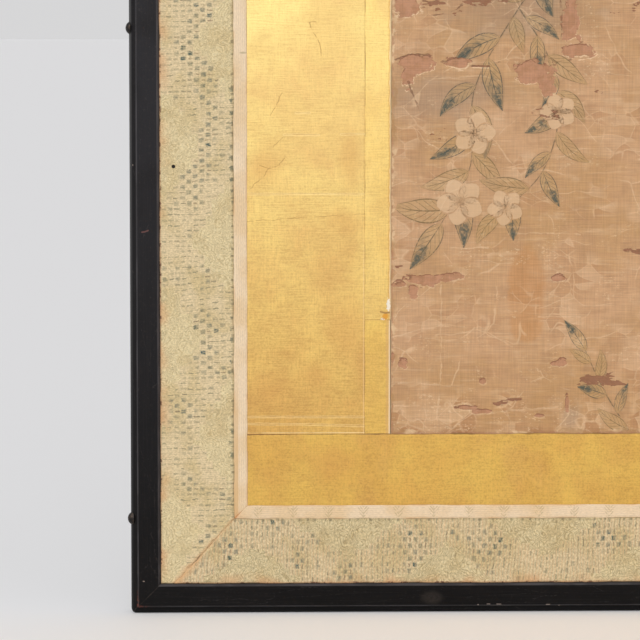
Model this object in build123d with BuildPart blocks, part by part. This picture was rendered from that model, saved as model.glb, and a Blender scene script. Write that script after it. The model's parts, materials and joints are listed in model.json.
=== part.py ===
from build123d import *
import os
from math import cos, radians, sin

# A two-panel byobu: a low folding screen that stands by itself in a shallow V.
# Each panel is a light cedar lattice, papered on both sides, with a picture mounted in gold,
# a ribbon and a wide cloth border, in a lacquered frame on its three outer sides.
# Strips of paper, taken alternately from front to back and from back to front through the gap
# between the panels, hinge them so that they fold both ways.
#
# Everything is drawn in the frame of the right panel. There x runs outward from the fold,
# y runs from the picture side to the back and z is up. x = y = 0 is the front fold line.
# The left panel is its mirror image about the plane x = 0 of the whole screen.

os.makedirs("parts", exist_ok=True)

# Mount, from the fold or the picture outward (mm)
picture_width = 360.0
picture_height = 870.0
gold_strip_width = 17.5
gold_side_width = 78.5
gold_band_height = 48.0
ribbon_width = 9.0
brocade_side_width = 49.5
brocade_end_height = 44.0
brocade_seam_run = 39.5  # sideways run of the slanted corner seam
cloth_setback = 1.0  # dark reveal between the mount and the frame

# Layers on the lattice
core_depth = 15.0
underpaper_thickness = 0.6
gold_thickness = 0.4
silk_thickness = 0.5
ribbon_thickness = 0.6
brocade_thickness = 0.8
back_paper_thickness = 0.4
back_sheet_count = 3
back_sheet_clearance = 0.2

# Lacquered frame
frame_width = 19.7
frame_proud = 1.5  # of the gold ground and of the back paper
shoulder_width = 4.7
shoulder_step = 1.0
inner_chamfer = 1.2
arris_round = 0.4
corner_easing = 4.0

# Fold
half_fold_angle = 25.0  # turn of each panel from flat, as it stands
fold_gap = 1.2  # between the panels' edges when they lie flat
fold_play = 0.3  # between the frames' faces when the screen is shut
hinge_strip_count = 10
hinge_strip_thickness = 0.6
hinge_strip_edge = 0.2  # easing of the strips' folded edges
hinge_strip_clearance = 0.4
wing_width = 32.0
wing_thickness = 0.3

# Lattice
core_stile_width = 22.0
core_rail_height = 22.0
bar_width = 10.0
upright_count = 5
crossbar_count = 9
tenon_thickness = 5.0
tenon_width = 6.0
tenon_length = 6.0
corner_tenon_height = 12.0
corner_tenon_length = 13.0

# Domed tacks in the outer shoulder, from the foot upward
tack_leans = (68.0, 82.0, 82.0, 74.0)  # turn of each tack from the front to the side
tack_inset = 64.0
tack_head_radius = 4.25
tack_dome_height = 2.6
tack_seating = 0.3  # depth of the flat that the head sits on
tack_shank_width = 2.0
tack_point_width = 0.6
tack_shank_length = 27.0

# Hidden square nails through the rails
nail_cells = (0, 2, 3, 5)  # cells of the lattice, counted from the fold
nail_recess = 0.8
nail_head_width = 5.0
nail_head_thickness = 1.2
nail_shank_width = 2.2
nail_point_width = 0.8
nail_length = 34.0
fastener_fit = 0.05  # between a shank or a head and its hole

# Places along x
fold_edge = fold_gap / 2
fold_strip_start = fold_edge + gold_side_width
picture_start = fold_strip_start + gold_strip_width
picture_end = picture_start + picture_width
outer_strip_end = picture_end + gold_strip_width
ribbon_start = outer_strip_end + gold_side_width
brocade_start = ribbon_start + ribbon_width
frame_start = brocade_start + brocade_side_width
panel_width = frame_start + frame_width
cloth_end = frame_start - cloth_setback

# Places along z
cloth_foot = frame_width + cloth_setback
ribbon_foot = frame_width + brocade_end_height
gold_foot = ribbon_foot + ribbon_width
picture_foot = gold_foot + gold_band_height
picture_top = picture_foot + picture_height
panel_height = picture_top + picture_foot
core_height = panel_height - 2 * frame_width

# Places along y
frame_front = fold_play / 2
frame_depth = core_depth + 2 * (underpaper_thickness + gold_thickness + frame_proud)
middle = frame_front + frame_depth / 2
back_fold_line = frame_depth + fold_play
front_glue = middle - core_depth / 2 - underpaper_thickness  # the mount is pasted here
back_glue = middle + core_depth / 2 + underpaper_thickness

# The right panel's place in the screen. The front fold line stands so that the screen's
# outline is centred on the origin.
turn = radians(half_fold_angle)
standing_depth = panel_width * sin(turn) + back_fold_line * cos(turn)
fold_line_y = standing_depth / 2 - back_fold_line * cos(turn)
along = Vector(cos(turn), -sin(turn), 0)
backward = Vector(sin(turn), cos(turn), 0)
up = Vector(0, 0, 1)
floor = Plane(origin=(0, fold_line_y, 0), x_dir=along, z_dir=up)
face = Plane(origin=(0, fold_line_y, 0), x_dir=along, z_dir=-backward)


def at(x, y, z):
    """A point of the right panel, in the screen's frame."""
    return floor.from_local_coords(Vector(x, y, z))


def write(piece, name):
    piece.part.label = name
    export_step(piece.part, f"parts/{name}.step")


def write_mirrored(piece, name):
    with BuildPart() as twin:
        mirror(piece.part, about=Plane.YZ)
    write(twin, name)


def write_pair(piece, name):
    write(piece, f"right_{name}")
    write_mirrored(piece, f"left_{name}")


# Flat outlines on the panel's face, as lists of (x, z)


def rectangle(x_start, z_start, x_end, z_end):
    return [(x_start, z_start), (x_end, z_start), (x_end, z_end), (x_start, z_end)]


def flipped(outline):
    """The same outline at the other end of the panel."""
    return [(x, panel_height - z) for x, z in outline]


def outline_sketch(y, outlines):
    with BuildSketch(face.offset(-y)) as shape:
        for outline in outlines:
            with BuildLine():
                Polyline(*outline, close=True)
            make_face()
    return shape.sketch


def layer(outlines, glue, thickness):
    """Flat sheets, one for each outline, that stand on the depth `glue` toward the front."""
    with BuildPart() as sheets:
        extrude(outline_sketch(glue, outlines), amount=thickness)
    return sheets


# Lattice


def upright_places():
    clear = frame_start - fold_edge - 2 * core_stile_width
    pitch = (clear + bar_width) / (upright_count + 1)
    first = fold_edge + core_stile_width - bar_width / 2
    return [first + pitch * (i + 1) for i in range(upright_count)]


def crossbar_places():
    clear = core_height - 2 * core_rail_height
    pitch = (clear + bar_width) / (crossbar_count + 1)
    first = frame_width + core_rail_height - bar_width / 2
    return [first + pitch * (i + 1) for i in range(crossbar_count)]


def tenons(points, length, height):
    """Section of tenons or mortises in the panel's middle plane, for extruding both ways."""
    with BuildSketch(face.offset(-middle)) as section:
        with Locations(*points):
            Rectangle(length, height)
    return section.sketch


core_foot = frame_width
core_top = frame_width + core_height
rail_levels = (core_foot + core_rail_height / 2, core_top - core_rail_height / 2)
hinge_stile_inner = fold_edge + core_stile_width
outer_stile_inner = frame_start - core_stile_width


def core_stile(x_start, inner):
    """A stile of the lattice, with mortises in its inner edge."""
    with BuildPart() as stile:
        with BuildSketch(floor.offset(core_foot)):
            with Locations((x_start + core_stile_width / 2, middle)):
                Rectangle(core_stile_width, core_depth)
        extrude(amount=core_height)
        bars = [(inner, z) for z in crossbar_places()]
        extrude(
            tenons(bars, 2 * tenon_length, tenon_width),
            amount=tenon_thickness / 2,
            both=True,
            mode=Mode.SUBTRACT,
        )
        corners = [(inner, z) for z in rail_levels]
        extrude(
            tenons(corners, 2 * corner_tenon_length, corner_tenon_height),
            amount=tenon_thickness / 2,
            both=True,
            mode=Mode.SUBTRACT,
        )
    return stile


def core_outer_stile():
    with BuildPart() as stile:
        add(core_stile(outer_stile_inner, outer_stile_inner).part)
        with Locations(*tack_seats()):
            add(tack_hole(), mode=Mode.SUBTRACT)
    return stile


def core_rail(level, rail_edge, nails):
    """A rail of the lattice between the stiles; `rail_edge` is the height of its inner edge."""
    length = outer_stile_inner - hinge_stile_inner
    centre = (outer_stile_inner + hinge_stile_inner) / 2
    with BuildPart() as rail:
        with BuildSketch(face.offset(-middle)):
            with Locations((centre, level)):
                Rectangle(length, core_rail_height)
        extrude(amount=core_depth / 2, both=True)
        extrude(
            tenons([(centre, level)], length + 2 * corner_tenon_length, corner_tenon_height),
            amount=tenon_thickness / 2,
            both=True,
        )
        bars = [(x, rail_edge) for x in upright_places()]
        extrude(
            tenons(bars, tenon_width, 2 * tenon_length),
            amount=tenon_thickness / 2,
            both=True,
            mode=Mode.SUBTRACT,
        )
        with Locations(*nails):
            add(nail_hole(), mode=Mode.SUBTRACT)
    return rail


def half_laps(front):
    """The front or the back half of every crossing of the bars, to be cut away."""
    with BuildSketch(face.offset(-middle)) as crossings:
        with Locations(*[(x, z) for x in upright_places() for z in crossbar_places()]):
            Rectangle(bar_width, bar_width)
    with BuildPart() as laps:
        extrude(crossings.sketch, amount=core_depth if front else -core_depth)
    return laps.part


def lattice_uprights():
    foot = core_foot + core_rail_height
    length = core_height - 2 * core_rail_height
    with BuildPart() as bars:
        with BuildSketch(floor.offset(foot)):
            with Locations(*[(x, middle) for x in upright_places()]):
                Rectangle(bar_width, core_depth)
        extrude(amount=length)
        ends = [(x, foot + length / 2) for x in upright_places()]
        extrude(
            tenons(ends, tenon_width, length + 2 * tenon_length),
            amount=tenon_thickness / 2,
            both=True,
        )
        add(half_laps(front=False), mode=Mode.SUBTRACT)
    return bars


def lattice_crossbars():
    length = outer_stile_inner - hinge_stile_inner
    centre = (outer_stile_inner + hinge_stile_inner) / 2
    places = [(centre, z) for z in crossbar_places()]
    with BuildPart() as bars:
        with BuildSketch(face.offset(-middle)):
            with Locations(*places):
                Rectangle(length, bar_width)
        extrude(amount=core_depth / 2, both=True)
        extrude(
            tenons(places, length + 2 * tenon_length, tenon_width),
            amount=tenon_thickness / 2,
            both=True,
        )
        add(half_laps(front=True), mode=Mode.SUBTRACT)
    return bars


# Paper hinge. Strips a and b alternate up the fold. Strips a cross from the left panel's
# front to the right panel's back, strips b from the right panel's front to the left's back.


def strip_feet(first):
    """Heights at which every second hinge strip starts, from strip number `first`."""
    pitch = core_height / hinge_strip_count
    return [
        core_foot + pitch * i + hinge_strip_clearance / 2
        for i in range(first, hinge_strip_count, 2)
    ]


strip_height = core_height / hinge_strip_count - hinge_strip_clearance
strips_a = strip_feet(0)
strips_b = strip_feet(1)


def hinge_strips(feet, pasted):
    """Strips in the gap, from fold line to fold line. Pasted ones are built out to the panel."""
    with BuildPart() as strips:
        for foot in feet:
            with BuildSketch(floor.offset(foot)):
                with Locations((0, back_fold_line / 2)):
                    strip = Rectangle(hinge_strip_thickness, back_fold_line)
                    chamfer(strip.vertices(), hinge_strip_edge)
                if pasted:
                    with Locations((fold_edge / 2, middle)):
                        Rectangle(fold_edge, core_depth)
            extrude(amount=strip_height)
    return strips


def wing_outlines(feet):
    return [
        rectangle(fold_edge, foot, fold_edge + wing_width, foot + strip_height)
        for foot in feet
    ]


def hinge_wings(front_feet, back_feet):
    with BuildPart() as wings:
        front = front_glue + wing_thickness
        extrude(outline_sketch(front, wing_outlines(front_feet)), amount=wing_thickness)
        extrude(outline_sketch(back_glue, wing_outlines(back_feet)), amount=wing_thickness)
    return wings


def underpaper(glue, pocket, feet):
    """Paper pasted over the lattice, with pockets for the wings of the hinge strips."""
    sheet = rectangle(fold_edge, core_foot, frame_start, core_top)
    with BuildPart() as paper:
        extrude(outline_sketch(glue, [sheet]), amount=underpaper_thickness)
        extrude(
            outline_sketch(pocket, wing_outlines(feet)),
            amount=wing_thickness,
            mode=Mode.SUBTRACT,
        )
    return paper


def front_underpaper(feet):
    return underpaper(middle - core_depth / 2, front_glue + wing_thickness, feet)


def back_underpaper(feet):
    return underpaper(back_glue, back_glue, feet)


def back_paper():
    """Sheets pasted one above the other, with a hair of clearance at the seams."""
    height = (panel_height - 2 * cloth_foot) / back_sheet_count
    outlines = [
        rectangle(
            fold_edge,
            cloth_foot + height * i + back_sheet_clearance / 2,
            cloth_end,
            cloth_foot + height * (i + 1) - back_sheet_clearance / 2,
        )
        for i in range(back_sheet_count)
    ]
    return layer(outlines, back_glue + back_paper_thickness, back_paper_thickness)


# Mount


def gold_sides():
    outlines = [
        rectangle(fold_edge, picture_foot, fold_strip_start, picture_top),
        rectangle(outer_strip_end, picture_foot, ribbon_start, picture_top),
    ]
    return layer(outlines, front_glue, gold_thickness)


def gold_strips():
    outlines = [
        rectangle(fold_strip_start, picture_foot, picture_start, picture_top),
        rectangle(picture_end, picture_foot, outer_strip_end, picture_top),
    ]
    return layer(outlines, front_glue, gold_thickness)


def gold_bands():
    band = rectangle(fold_edge, gold_foot, ribbon_start, picture_foot)
    return layer([band, flipped(band)], front_glue, gold_thickness)


def picture():
    sheet = rectangle(picture_start, picture_foot, picture_end, picture_top)
    return layer([sheet], front_glue, silk_thickness)


def ribbon_side_outline():
    corner = [(ribbon_start, gold_foot), (brocade_start, ribbon_foot)]
    return corner + list(reversed(flipped(corner)))


def ribbon_foot_outline():
    return [
        (fold_edge, ribbon_foot),
        (brocade_start, ribbon_foot),
        (ribbon_start, gold_foot),
        (fold_edge, gold_foot),
    ]


def brocade_side_outline():
    seam_end = brocade_start + brocade_seam_run
    corner = [(brocade_start, ribbon_foot), (seam_end, cloth_foot), (cloth_end, cloth_foot)]
    return corner + list(reversed(flipped(corner)))


def brocade_foot_outline():
    return [
        (fold_edge, cloth_foot),
        (brocade_start + brocade_seam_run, cloth_foot),
        (brocade_start, ribbon_foot),
        (fold_edge, ribbon_foot),
    ]


# Frame


def moulding(plane):
    """Section of the frame: its outer edge at x = 0, its face at y = 0, its inside at x < 0."""
    shoulder_level = shoulder_step + shoulder_width
    back_shoulder_level = frame_depth - shoulder_level
    with BuildSketch(plane) as section:
        with BuildLine():
            FilletPolyline(
                (-shoulder_width, shoulder_step),
                (-shoulder_width, 0),
                (inner_chamfer - frame_width, 0),
                (-frame_width, inner_chamfer),
                (-frame_width, frame_depth - inner_chamfer),
                (inner_chamfer - frame_width, frame_depth),
                (-shoulder_width, frame_depth),
                (-shoulder_width, frame_depth - shoulder_step),
                radius=arris_round,
            )
            CenterArc((-shoulder_width, back_shoulder_level), shoulder_width, 0, 90)
            Line((0, back_shoulder_level), (0, shoulder_level))
            CenterArc((-shoulder_width, shoulder_level), shoulder_width, -90, 90)
        make_face()
    return section.sketch


def frame_member(section, length, outline):
    """A moulded length, mitred to its outline and eased at the panel's outer corners."""
    with BuildPart() as member:
        extrude(section, amount=length)
        with BuildSketch(face.offset(-middle)):
            with BuildLine():
                Polyline(*outline, close=True)
            make_face()
            with Locations((0, panel_height / 2)):
                RectangleRounded(
                    2 * panel_width, panel_height, corner_easing, mode=Mode.INTERSECT
                )
        extrude(amount=frame_depth, both=True, mode=Mode.INTERSECT)
    return member


def tack_seats():
    """Places of the tack heads' undersides, on the round of the outer shoulder."""
    pitch = (panel_height - 2 * tack_inset) / (len(tack_leans) - 1)
    seats = []
    for i, lean in enumerate(tack_leans):
        outward = along * sin(radians(lean)) - backward * cos(radians(lean))
        round_centre = at(
            panel_width - shoulder_width,
            frame_front + shoulder_step + shoulder_width,
            tack_inset + pitch * i,
        )
        seat = round_centre + outward * (shoulder_width - tack_seating)
        seats.append(Plane(origin=seat, x_dir=up, z_dir=outward).location)
    return seats


def frame_stile():
    section = moulding(Plane(origin=at(panel_width, frame_front, 0), x_dir=along, z_dir=up))
    corner = [(frame_start, frame_width), (panel_width, 0)]
    outline = corner + list(reversed(flipped(corner)))
    with BuildPart() as stile:
        add(frame_member(section, panel_height, outline).part)
        with Locations(*tack_seats()):
            add(tack_hole(), mode=Mode.SUBTRACT)
    return stile


def rail_outline():
    return [
        (fold_edge, 0),
        (panel_width, 0),
        (frame_start, frame_width),
        (fold_edge, frame_width),
    ]


def nail_seats(height, outward):
    """Places of the nail heads' tops on a rail, with z pointing out of the wood."""
    cell_edges = [hinge_stile_inner, *upright_places(), outer_stile_inner]
    return [
        Plane(
            origin=at((cell_edges[i] + cell_edges[i + 1]) / 2, middle, height),
            x_dir=along,
            z_dir=outward,
        ).location
        for i in nail_cells
    ]


foot_nail_seats = nail_seats(nail_recess, -up)
top_nail_seats = nail_seats(panel_height - nail_recess, up)


def frame_rail(section, outline, nails):
    with BuildPart() as rail:
        add(frame_member(section, panel_width - fold_edge, outline).part)
        with Locations(*nails):
            add(nail_hole(), mode=Mode.SUBTRACT)
    return rail


def frame_bottom_rail():
    plane = Plane(origin=at(fold_edge, frame_front, 0), x_dir=-up, z_dir=along)
    return frame_rail(moulding(plane), rail_outline(), foot_nail_seats)


def frame_top_rail():
    plane = Plane(origin=at(panel_width, frame_front, panel_height), x_dir=up, z_dir=-along)
    return frame_rail(moulding(plane), flipped(rail_outline()), top_nail_seats)


# Fasteners and their holes, each drawn about the z axis with the head's seat or top at z = 0


def square_shank(start, start_width, end, end_width):
    with BuildPart() as shank:
        for height, width in ((start, start_width), (end, end_width)):
            with BuildSketch(Plane.XY.offset(height)):
                Rectangle(width, width)
        loft()
    return shank.part


def tack():
    with BuildPart() as body:
        add(square_shank(0, tack_shank_width, -tack_shank_length, tack_point_width))
        with BuildSketch(Plane.XZ):
            with BuildLine():
                TangentArc((0, tack_dome_height), (tack_head_radius, 0), tangent=(1, 0))
                Polyline((tack_head_radius, 0), (0, 0), (0, tack_dome_height))
            make_face()
        revolve(axis=Axis.Z)
    return body


def tack_hole():
    """The shank's hole, with the flat that the head sits on."""
    wider = 2 * fastener_fit
    length = tack_shank_length + fastener_fit
    with BuildPart() as hole:
        add(square_shank(0, tack_shank_width + wider, -length, tack_point_width + wider))
        Cylinder(
            tack_head_radius + fastener_fit,
            tack_dome_height,
            align=(Align.CENTER, Align.CENTER, Align.MIN),
        )
    return hole.part


def nail():
    neck = -nail_head_thickness
    with BuildPart() as body:
        add(square_shank(0, nail_head_width, neck, nail_head_width))
        add(square_shank(neck, nail_shank_width, -nail_length, nail_point_width))
    return body


def nail_hole():
    """The nail's hole, open to the rail's outer edge above the head."""
    wider = 2 * fastener_fit
    neck = -nail_head_thickness
    length = nail_length + fastener_fit
    head_width = nail_head_width + wider
    with BuildPart() as hole:
        add(square_shank(nail_recess, head_width, neck, head_width))
        add(square_shank(neck, nail_shank_width + wider, -length, nail_point_width + wider))
    return hole.part


def fasteners(one, seats):
    with BuildPart() as group:
        with Locations(*seats):
            add(one.part)
    return group


# The whole screen

write_pair(core_stile(fold_edge, hinge_stile_inner), "core_hinge_stile")
write_pair(core_outer_stile(), "core_outer_stile")
write_pair(
    core_rail(rail_levels[0], core_foot + core_rail_height, foot_nail_seats),
    "core_bottom_rail",
)
write_pair(
    core_rail(rail_levels[1], core_top - core_rail_height, top_nail_seats),
    "core_top_rail",
)
write_pair(lattice_uprights(), "lattice_uprights")
write_pair(lattice_crossbars(), "lattice_crossbars")

write(hinge_strips(strips_a, pasted=False), "hinge_strips_a")
write_mirrored(hinge_strips(strips_b, pasted=True), "hinge_strips_b")
write(hinge_wings(strips_b, strips_a), "right_hinge_wings")
write_mirrored(hinge_wings(strips_a, strips_b), "left_hinge_wings")
write(front_underpaper(strips_b), "right_front_underpaper")
write_mirrored(front_underpaper(strips_a), "left_front_underpaper")
write(back_underpaper(strips_a), "right_back_underpaper")
write_mirrored(back_underpaper(strips_b), "left_back_underpaper")
write_pair(back_paper(), "back_paper")

write_pair(gold_sides(), "gold_sides")
write_pair(gold_strips(), "gold_strips")
write_pair(gold_bands(), "gold_bands")
write_pair(picture(), "picture")
write_pair(layer([ribbon_side_outline()], front_glue, ribbon_thickness), "ribbon_side")
write_pair(layer([ribbon_foot_outline()], front_glue, ribbon_thickness), "ribbon_bottom")
write_pair(layer([flipped(ribbon_foot_outline())], front_glue, ribbon_thickness), "ribbon_top")
write_pair(layer([brocade_side_outline()], front_glue, brocade_thickness), "brocade_side")
write_pair(layer([brocade_foot_outline()], front_glue, brocade_thickness), "brocade_bottom")
write_pair(layer([flipped(brocade_foot_outline())], front_glue, brocade_thickness), "brocade_top")

write_pair(frame_stile(), "frame_stile")
write_pair(frame_bottom_rail(), "frame_bottom_rail")
write_pair(frame_top_rail(), "frame_top_rail")
write_pair(fasteners(tack(), tack_seats()), "tacks")
write_pair(
    fasteners(nail(), foot_nail_seats + top_nail_seats),
    "rail_nails",
)
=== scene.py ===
"""Two-panel byobu (folding screen): the looks of its lacquer, cloth borders, gold ground and aged painting."""

import json
import math

import bmesh
import bpy
import numpy as np
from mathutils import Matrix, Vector


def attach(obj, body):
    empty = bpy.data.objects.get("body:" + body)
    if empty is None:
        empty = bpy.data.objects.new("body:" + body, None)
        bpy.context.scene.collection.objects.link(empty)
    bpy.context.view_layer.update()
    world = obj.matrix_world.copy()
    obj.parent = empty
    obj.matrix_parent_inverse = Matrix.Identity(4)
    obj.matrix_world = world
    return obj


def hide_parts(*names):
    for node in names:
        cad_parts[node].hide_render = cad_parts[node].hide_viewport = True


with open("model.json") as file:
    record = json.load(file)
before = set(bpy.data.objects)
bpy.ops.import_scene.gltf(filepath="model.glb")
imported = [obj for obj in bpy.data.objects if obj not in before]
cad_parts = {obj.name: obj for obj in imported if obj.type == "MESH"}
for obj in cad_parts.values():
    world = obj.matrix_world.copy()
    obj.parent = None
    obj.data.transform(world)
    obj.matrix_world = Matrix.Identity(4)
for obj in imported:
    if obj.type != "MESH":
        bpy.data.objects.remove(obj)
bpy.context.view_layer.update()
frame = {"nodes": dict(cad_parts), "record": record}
nodes = frame["nodes"]

# The panel's places in millimetres, as in the CAD: x outward from the fold, y back from the front, z up from the foot
TURN = math.radians(25)
FOLD_Y = 124.095
GOLD_START = 0.6
STRIP_START = 79.1
PICTURE_START = 96.6
PICTURE_END = 456.6
STRIP_END = 474.1
RIBBON_START = 552.6
BROCADE_START = 561.6
SEAM_FOOT = 601.7
CLOTH_END = 610.8
FRAME_START = 611.1
PANEL_WIDTH = 630.8
CLOTH_FOOT = 20.0
RIBBON_FOOT = 63.7
GOLD_FOOT = 72.7
PICTURE_FOOT = 120.7
PICTURE_TOP = 990.7
PANEL_HEIGHT = 1111.4
GOLD_FACE = 1.65
STRIP_FACE = GOLD_FACE - 0.04
SILK_FACE = 1.55
RIBBON_FACE = 1.45
BROCADE_FACE = 1.25
GLUE_FACE = 2.05


def top_of(z):
    """The height that mirrors z about the panel's middle."""
    return PANEL_HEIGHT - z


def place(side, points):
    """Panel places in millimetres as points in metres. side is -1 for the left panel and 1 for the right one."""
    x, y, z = np.asarray(points, float).T
    across = side * (x * math.cos(TURN) + y * math.sin(TURN))
    depth = FOLD_Y - x * math.sin(TURN) + y * math.cos(TURN)
    return np.stack([across, depth, z], 1) / 1000


def linear(*rgb):
    """A display colour, 0 to 255, as the linear colour that a shader takes."""
    return [c / 255 / 12.92 if c < 10.3 else ((c / 255 + 0.055) / 1.055) ** 2.4 for c in rgb]


# Camera, as fitted to the straight lines of the photograph

EYE = (565.7, -2400.0, 400.4)
LOOK_ASIDE = math.radians(1.47)
LOOK_DOWN = math.radians(4.83)

camera_data = bpy.data.cameras.new("camera")
camera_data.lens = 203.1
camera_data.sensor_width = 36
camera_data.clip_end = 60
camera = bpy.data.objects.new("camera", camera_data)
bpy.context.collection.objects.link(camera)
eye = Vector(place(-1, [EYE])[0])
ahead = (EYE[0] - 1000 * math.sin(LOOK_ASIDE), EYE[1] + 1000 * math.cos(LOOK_ASIDE),
         EYE[2] - 1000 * math.tan(LOOK_DOWN))
target = Vector(place(-1, [ahead])[0])
camera.location = eye
camera.rotation_mode = "QUATERNION"
camera.rotation_quaternion = (target - eye).to_track_quat("-Z", "Y")
bpy.context.scene.camera = camera


# Light and floor

bpy.context.scene.view_settings.view_transform = "Standard"

KEY_TOWARDS = (0.35, 0.75, -0.75)
KEY_STRENGTH = 1.6
KEY_ANGLE = math.radians(50)
SOFTBOX_AT = (0.62, -2.8, 1.3)
SOFTBOX_TARGET = (-0.2, 0, 0.5)
SOFTBOX_SIZE = 1.3
SOFTBOX_WATTS = 14
WORLD_STRENGTH = 0.6


def lamp(name, kind, at, towards, energy):
    """A lamp that shines from a place in a direction. Returns its data."""
    data = bpy.data.lights.new(name, kind)
    data.energy = energy
    made = bpy.data.objects.new(name, data)
    bpy.context.collection.objects.link(made)
    made.location = at
    made.rotation_mode = "QUATERNION"
    made.rotation_quaternion = towards.to_track_quat("-Z", "Y")
    return data


lamp("key", "SUN", (0, 0, 0), Vector(KEY_TOWARDS), KEY_STRENGTH).angle = KEY_ANGLE
lamp("softbox", "AREA", SOFTBOX_AT, Vector(SOFTBOX_TARGET) - Vector(SOFTBOX_AT), SOFTBOX_WATTS).size = SOFTBOX_SIZE

world = bpy.data.worlds.new("studio")
bpy.context.scene.world = world
world.use_nodes = True
sky = world.node_tree
light = sky.nodes["Background"]
light.inputs["Color"].default_value = (*linear(228, 227, 226), 1)
light.inputs["Strength"].default_value = WORLD_STRENGTH
backdrop = sky.nodes.new("ShaderNodeBackground")
backdrop.inputs["Color"].default_value = (*linear(214.7, 214.4, 215.2), 1)
seen = sky.nodes.new("ShaderNodeLightPath")
either = sky.nodes.new("ShaderNodeMixShader")
share = seen.outputs["Is Camera Ray"]
for ray in ("Is Glossy Ray", "Is Transmission Ray"):
    most = sky.nodes.new("ShaderNodeMath")
    most.operation = "MAXIMUM"
    sky.links.new(share, most.inputs[0])
    sky.links.new(seen.outputs[ray], most.inputs[1])
    share = most.outputs[0]
sky.links.new(share, either.inputs[0])
sky.links.new(light.outputs[0], either.inputs[1])
sky.links.new(backdrop.outputs[0], either.inputs[2])
sky.links.new(either.outputs[0], sky.nodes["World Output"].inputs["Surface"])


class Paint:
    """A node material built up from short calls. Sockets are linked, and plain values are set."""

    def __init__(self, name):
        self.material = bpy.data.materials.new(name)
        self.material.use_nodes = True
        self.tree = self.material.node_tree
        self.shader = self.tree.nodes["Principled BSDF"]
        self.colour = None

    def add(self, kind, inputs=(), out=0, **settings):
        node = self.tree.nodes.new("ShaderNode" + kind)
        for name, value in settings.items():
            setattr(node, name, value)
        for key, value in dict(inputs).items():
            self.put(node.inputs[key], value)
        return node.outputs[out]

    def put(self, socket, value):
        if isinstance(value, bpy.types.NodeSocket):
            self.tree.links.new(value, socket)
        elif socket.type == "RGBA":
            socket.default_value = (*value, 1)
        else:
            socket.default_value = value

    def set(self, **values):
        for name, value in values.items():
            self.put(self.shader.inputs[name.replace("_", " ")], value)

    # Numbers

    def math(self, operation, a, b=0.0, c=0.0):
        return self.add("Math", {0: a, 1: b, 2: c}, operation=operation)

    def fold(self, operation, values):
        """The values taken together one after another."""
        result = values[0]
        for value in values[1:]:
            result = self.math(operation, result, value)
        return result

    def plus(self, *terms):
        """The sum of the terms. A tuple stands for the product of what it holds."""
        return self.fold("ADD", [self.times(*term) if isinstance(term, tuple) else term for term in terms])

    def times(self, *factors):
        return self.fold("MULTIPLY", factors)

    def most(self, *values):
        return self.fold("MAXIMUM", values)

    def least(self, *values):
        return self.fold("MINIMUM", values)

    def less(self, a, b):
        return self.math("SUBTRACT", a, b)

    def size(self, a):
        return self.math("ABSOLUTE", a)

    def whole(self, a):
        return self.math("FLOOR", a)

    def part(self, a):
        return self.math("FRACT", a)

    def off(self, a, *places):
        """How far a is from the nearest of the places."""
        return self.least(*(self.size(self.less(a, place)) for place in places))

    def sway(self, share, amount):
        """A share, 0 to 1, as a move to either side: half the amount at most."""
        return self.times(self.less(share, 0.5), amount)

    def wave(self, phase):
        """A wave of one turn for each whole number of phase, from -1 to 1."""
        return self.math("SINE", self.times(phase, 2 * math.pi))

    def rise(self, value, low, high):
        """0 up to low and 1 from high, or the other way round where low is the larger, smooth in between."""
        return self.add("MapRange", {"Value": value, "From Min": low, "From Max": high},
                        interpolation_type="SMOOTHSTEP")

    def bar(self, value, middle, half, soft):
        """1 within half of middle, and 0 from half + soft."""
        return self.rise(self.off(value, middle), half + soft, half)

    def blend(self, share, a, b):
        """Number a with that share of number b."""
        return self.add("Mix", {0: share, 2: a, 3: b}, out=0)

    # Places

    def join(self, x, y, z=0.0):
        return self.add("CombineXYZ", {0: x, 1: y, 2: z})

    def split(self, vector):
        return tuple(self.add("SeparateXYZ", {0: vector}).node.outputs)

    def stretch(self, vector, x, y, z):
        """The vector with each direction times its own number."""
        return self.add("VectorMath", {0: vector, 1: (x, y, z)}, operation="MULTIPLY")

    def shade(self, vector, amount):
        """The vector or colour times a number."""
        return self.add("VectorMath", {0: vector, "Scale": amount}, operation="SCALE")

    def past(self, place, x, z):
        """A flat place, counted from (x, z)."""
        return self.add("VectorMath", {0: place, 1: (x, z, 0)}, operation="SUBTRACT")

    def moved(self, place, by):
        return self.add("VectorMath", {0: place, 1: by}, operation="ADD")

    def apart(self, vector, *sizes):
        """How far a place is from the origin, with each direction measured in its own size."""
        scaled = self.stretch(vector, *(1 / size for size in sizes))
        return self.add("VectorMath", {0: scaled}, out=1, operation="LENGTH")

    def where(self):
        """The place on the panel in millimetres, as x, y and z. For noise it differs from panel to panel."""
        across, depth, up = self.split(self.add("TexCoord", out=3))
        self.side = self.math("LESS_THAN", across, 0.0)
        out = self.times(self.size(across), 1000)
        back = self.math("MULTIPLY_ADD", depth, 1000, -FOLD_Y)
        self.x = self.less(self.times(out, math.cos(TURN)), self.times(back, math.sin(TURN)))
        self.z = self.times(up, 1000)
        y = self.plus((out, math.sin(TURN)), (back, math.cos(TURN)))
        self.seeded = self.join(self.x, self.math("MULTIPLY_ADD", self.side, 900, y), self.z)
        return self.x, y, self.z

    def foot(self):
        """Height above the panel's foot, or below its top where that is less."""
        return self.least(self.z, self.less(PANEL_HEIGHT, self.z))

    def own_place(self):
        """The place as a flat vector for the listed marks. They lie upside down on the right panel."""
        return self.join(self.x, self.blend(self.side, self.less(PANEL_HEIGHT, self.z), self.z))

    # Patterns

    def noise(self, size, detail=2.0, rough=0.5, twist=0.0, out=0, at=None):
        """Cloudy noise, 0 to 1, whose clouds are about size millimetres across."""
        return self.add("TexNoise", {"Vector": at or self.seeded, "Scale": 1 / size, "Detail": detail,
                                     "Roughness": rough, "Distortion": twist}, out)

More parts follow.
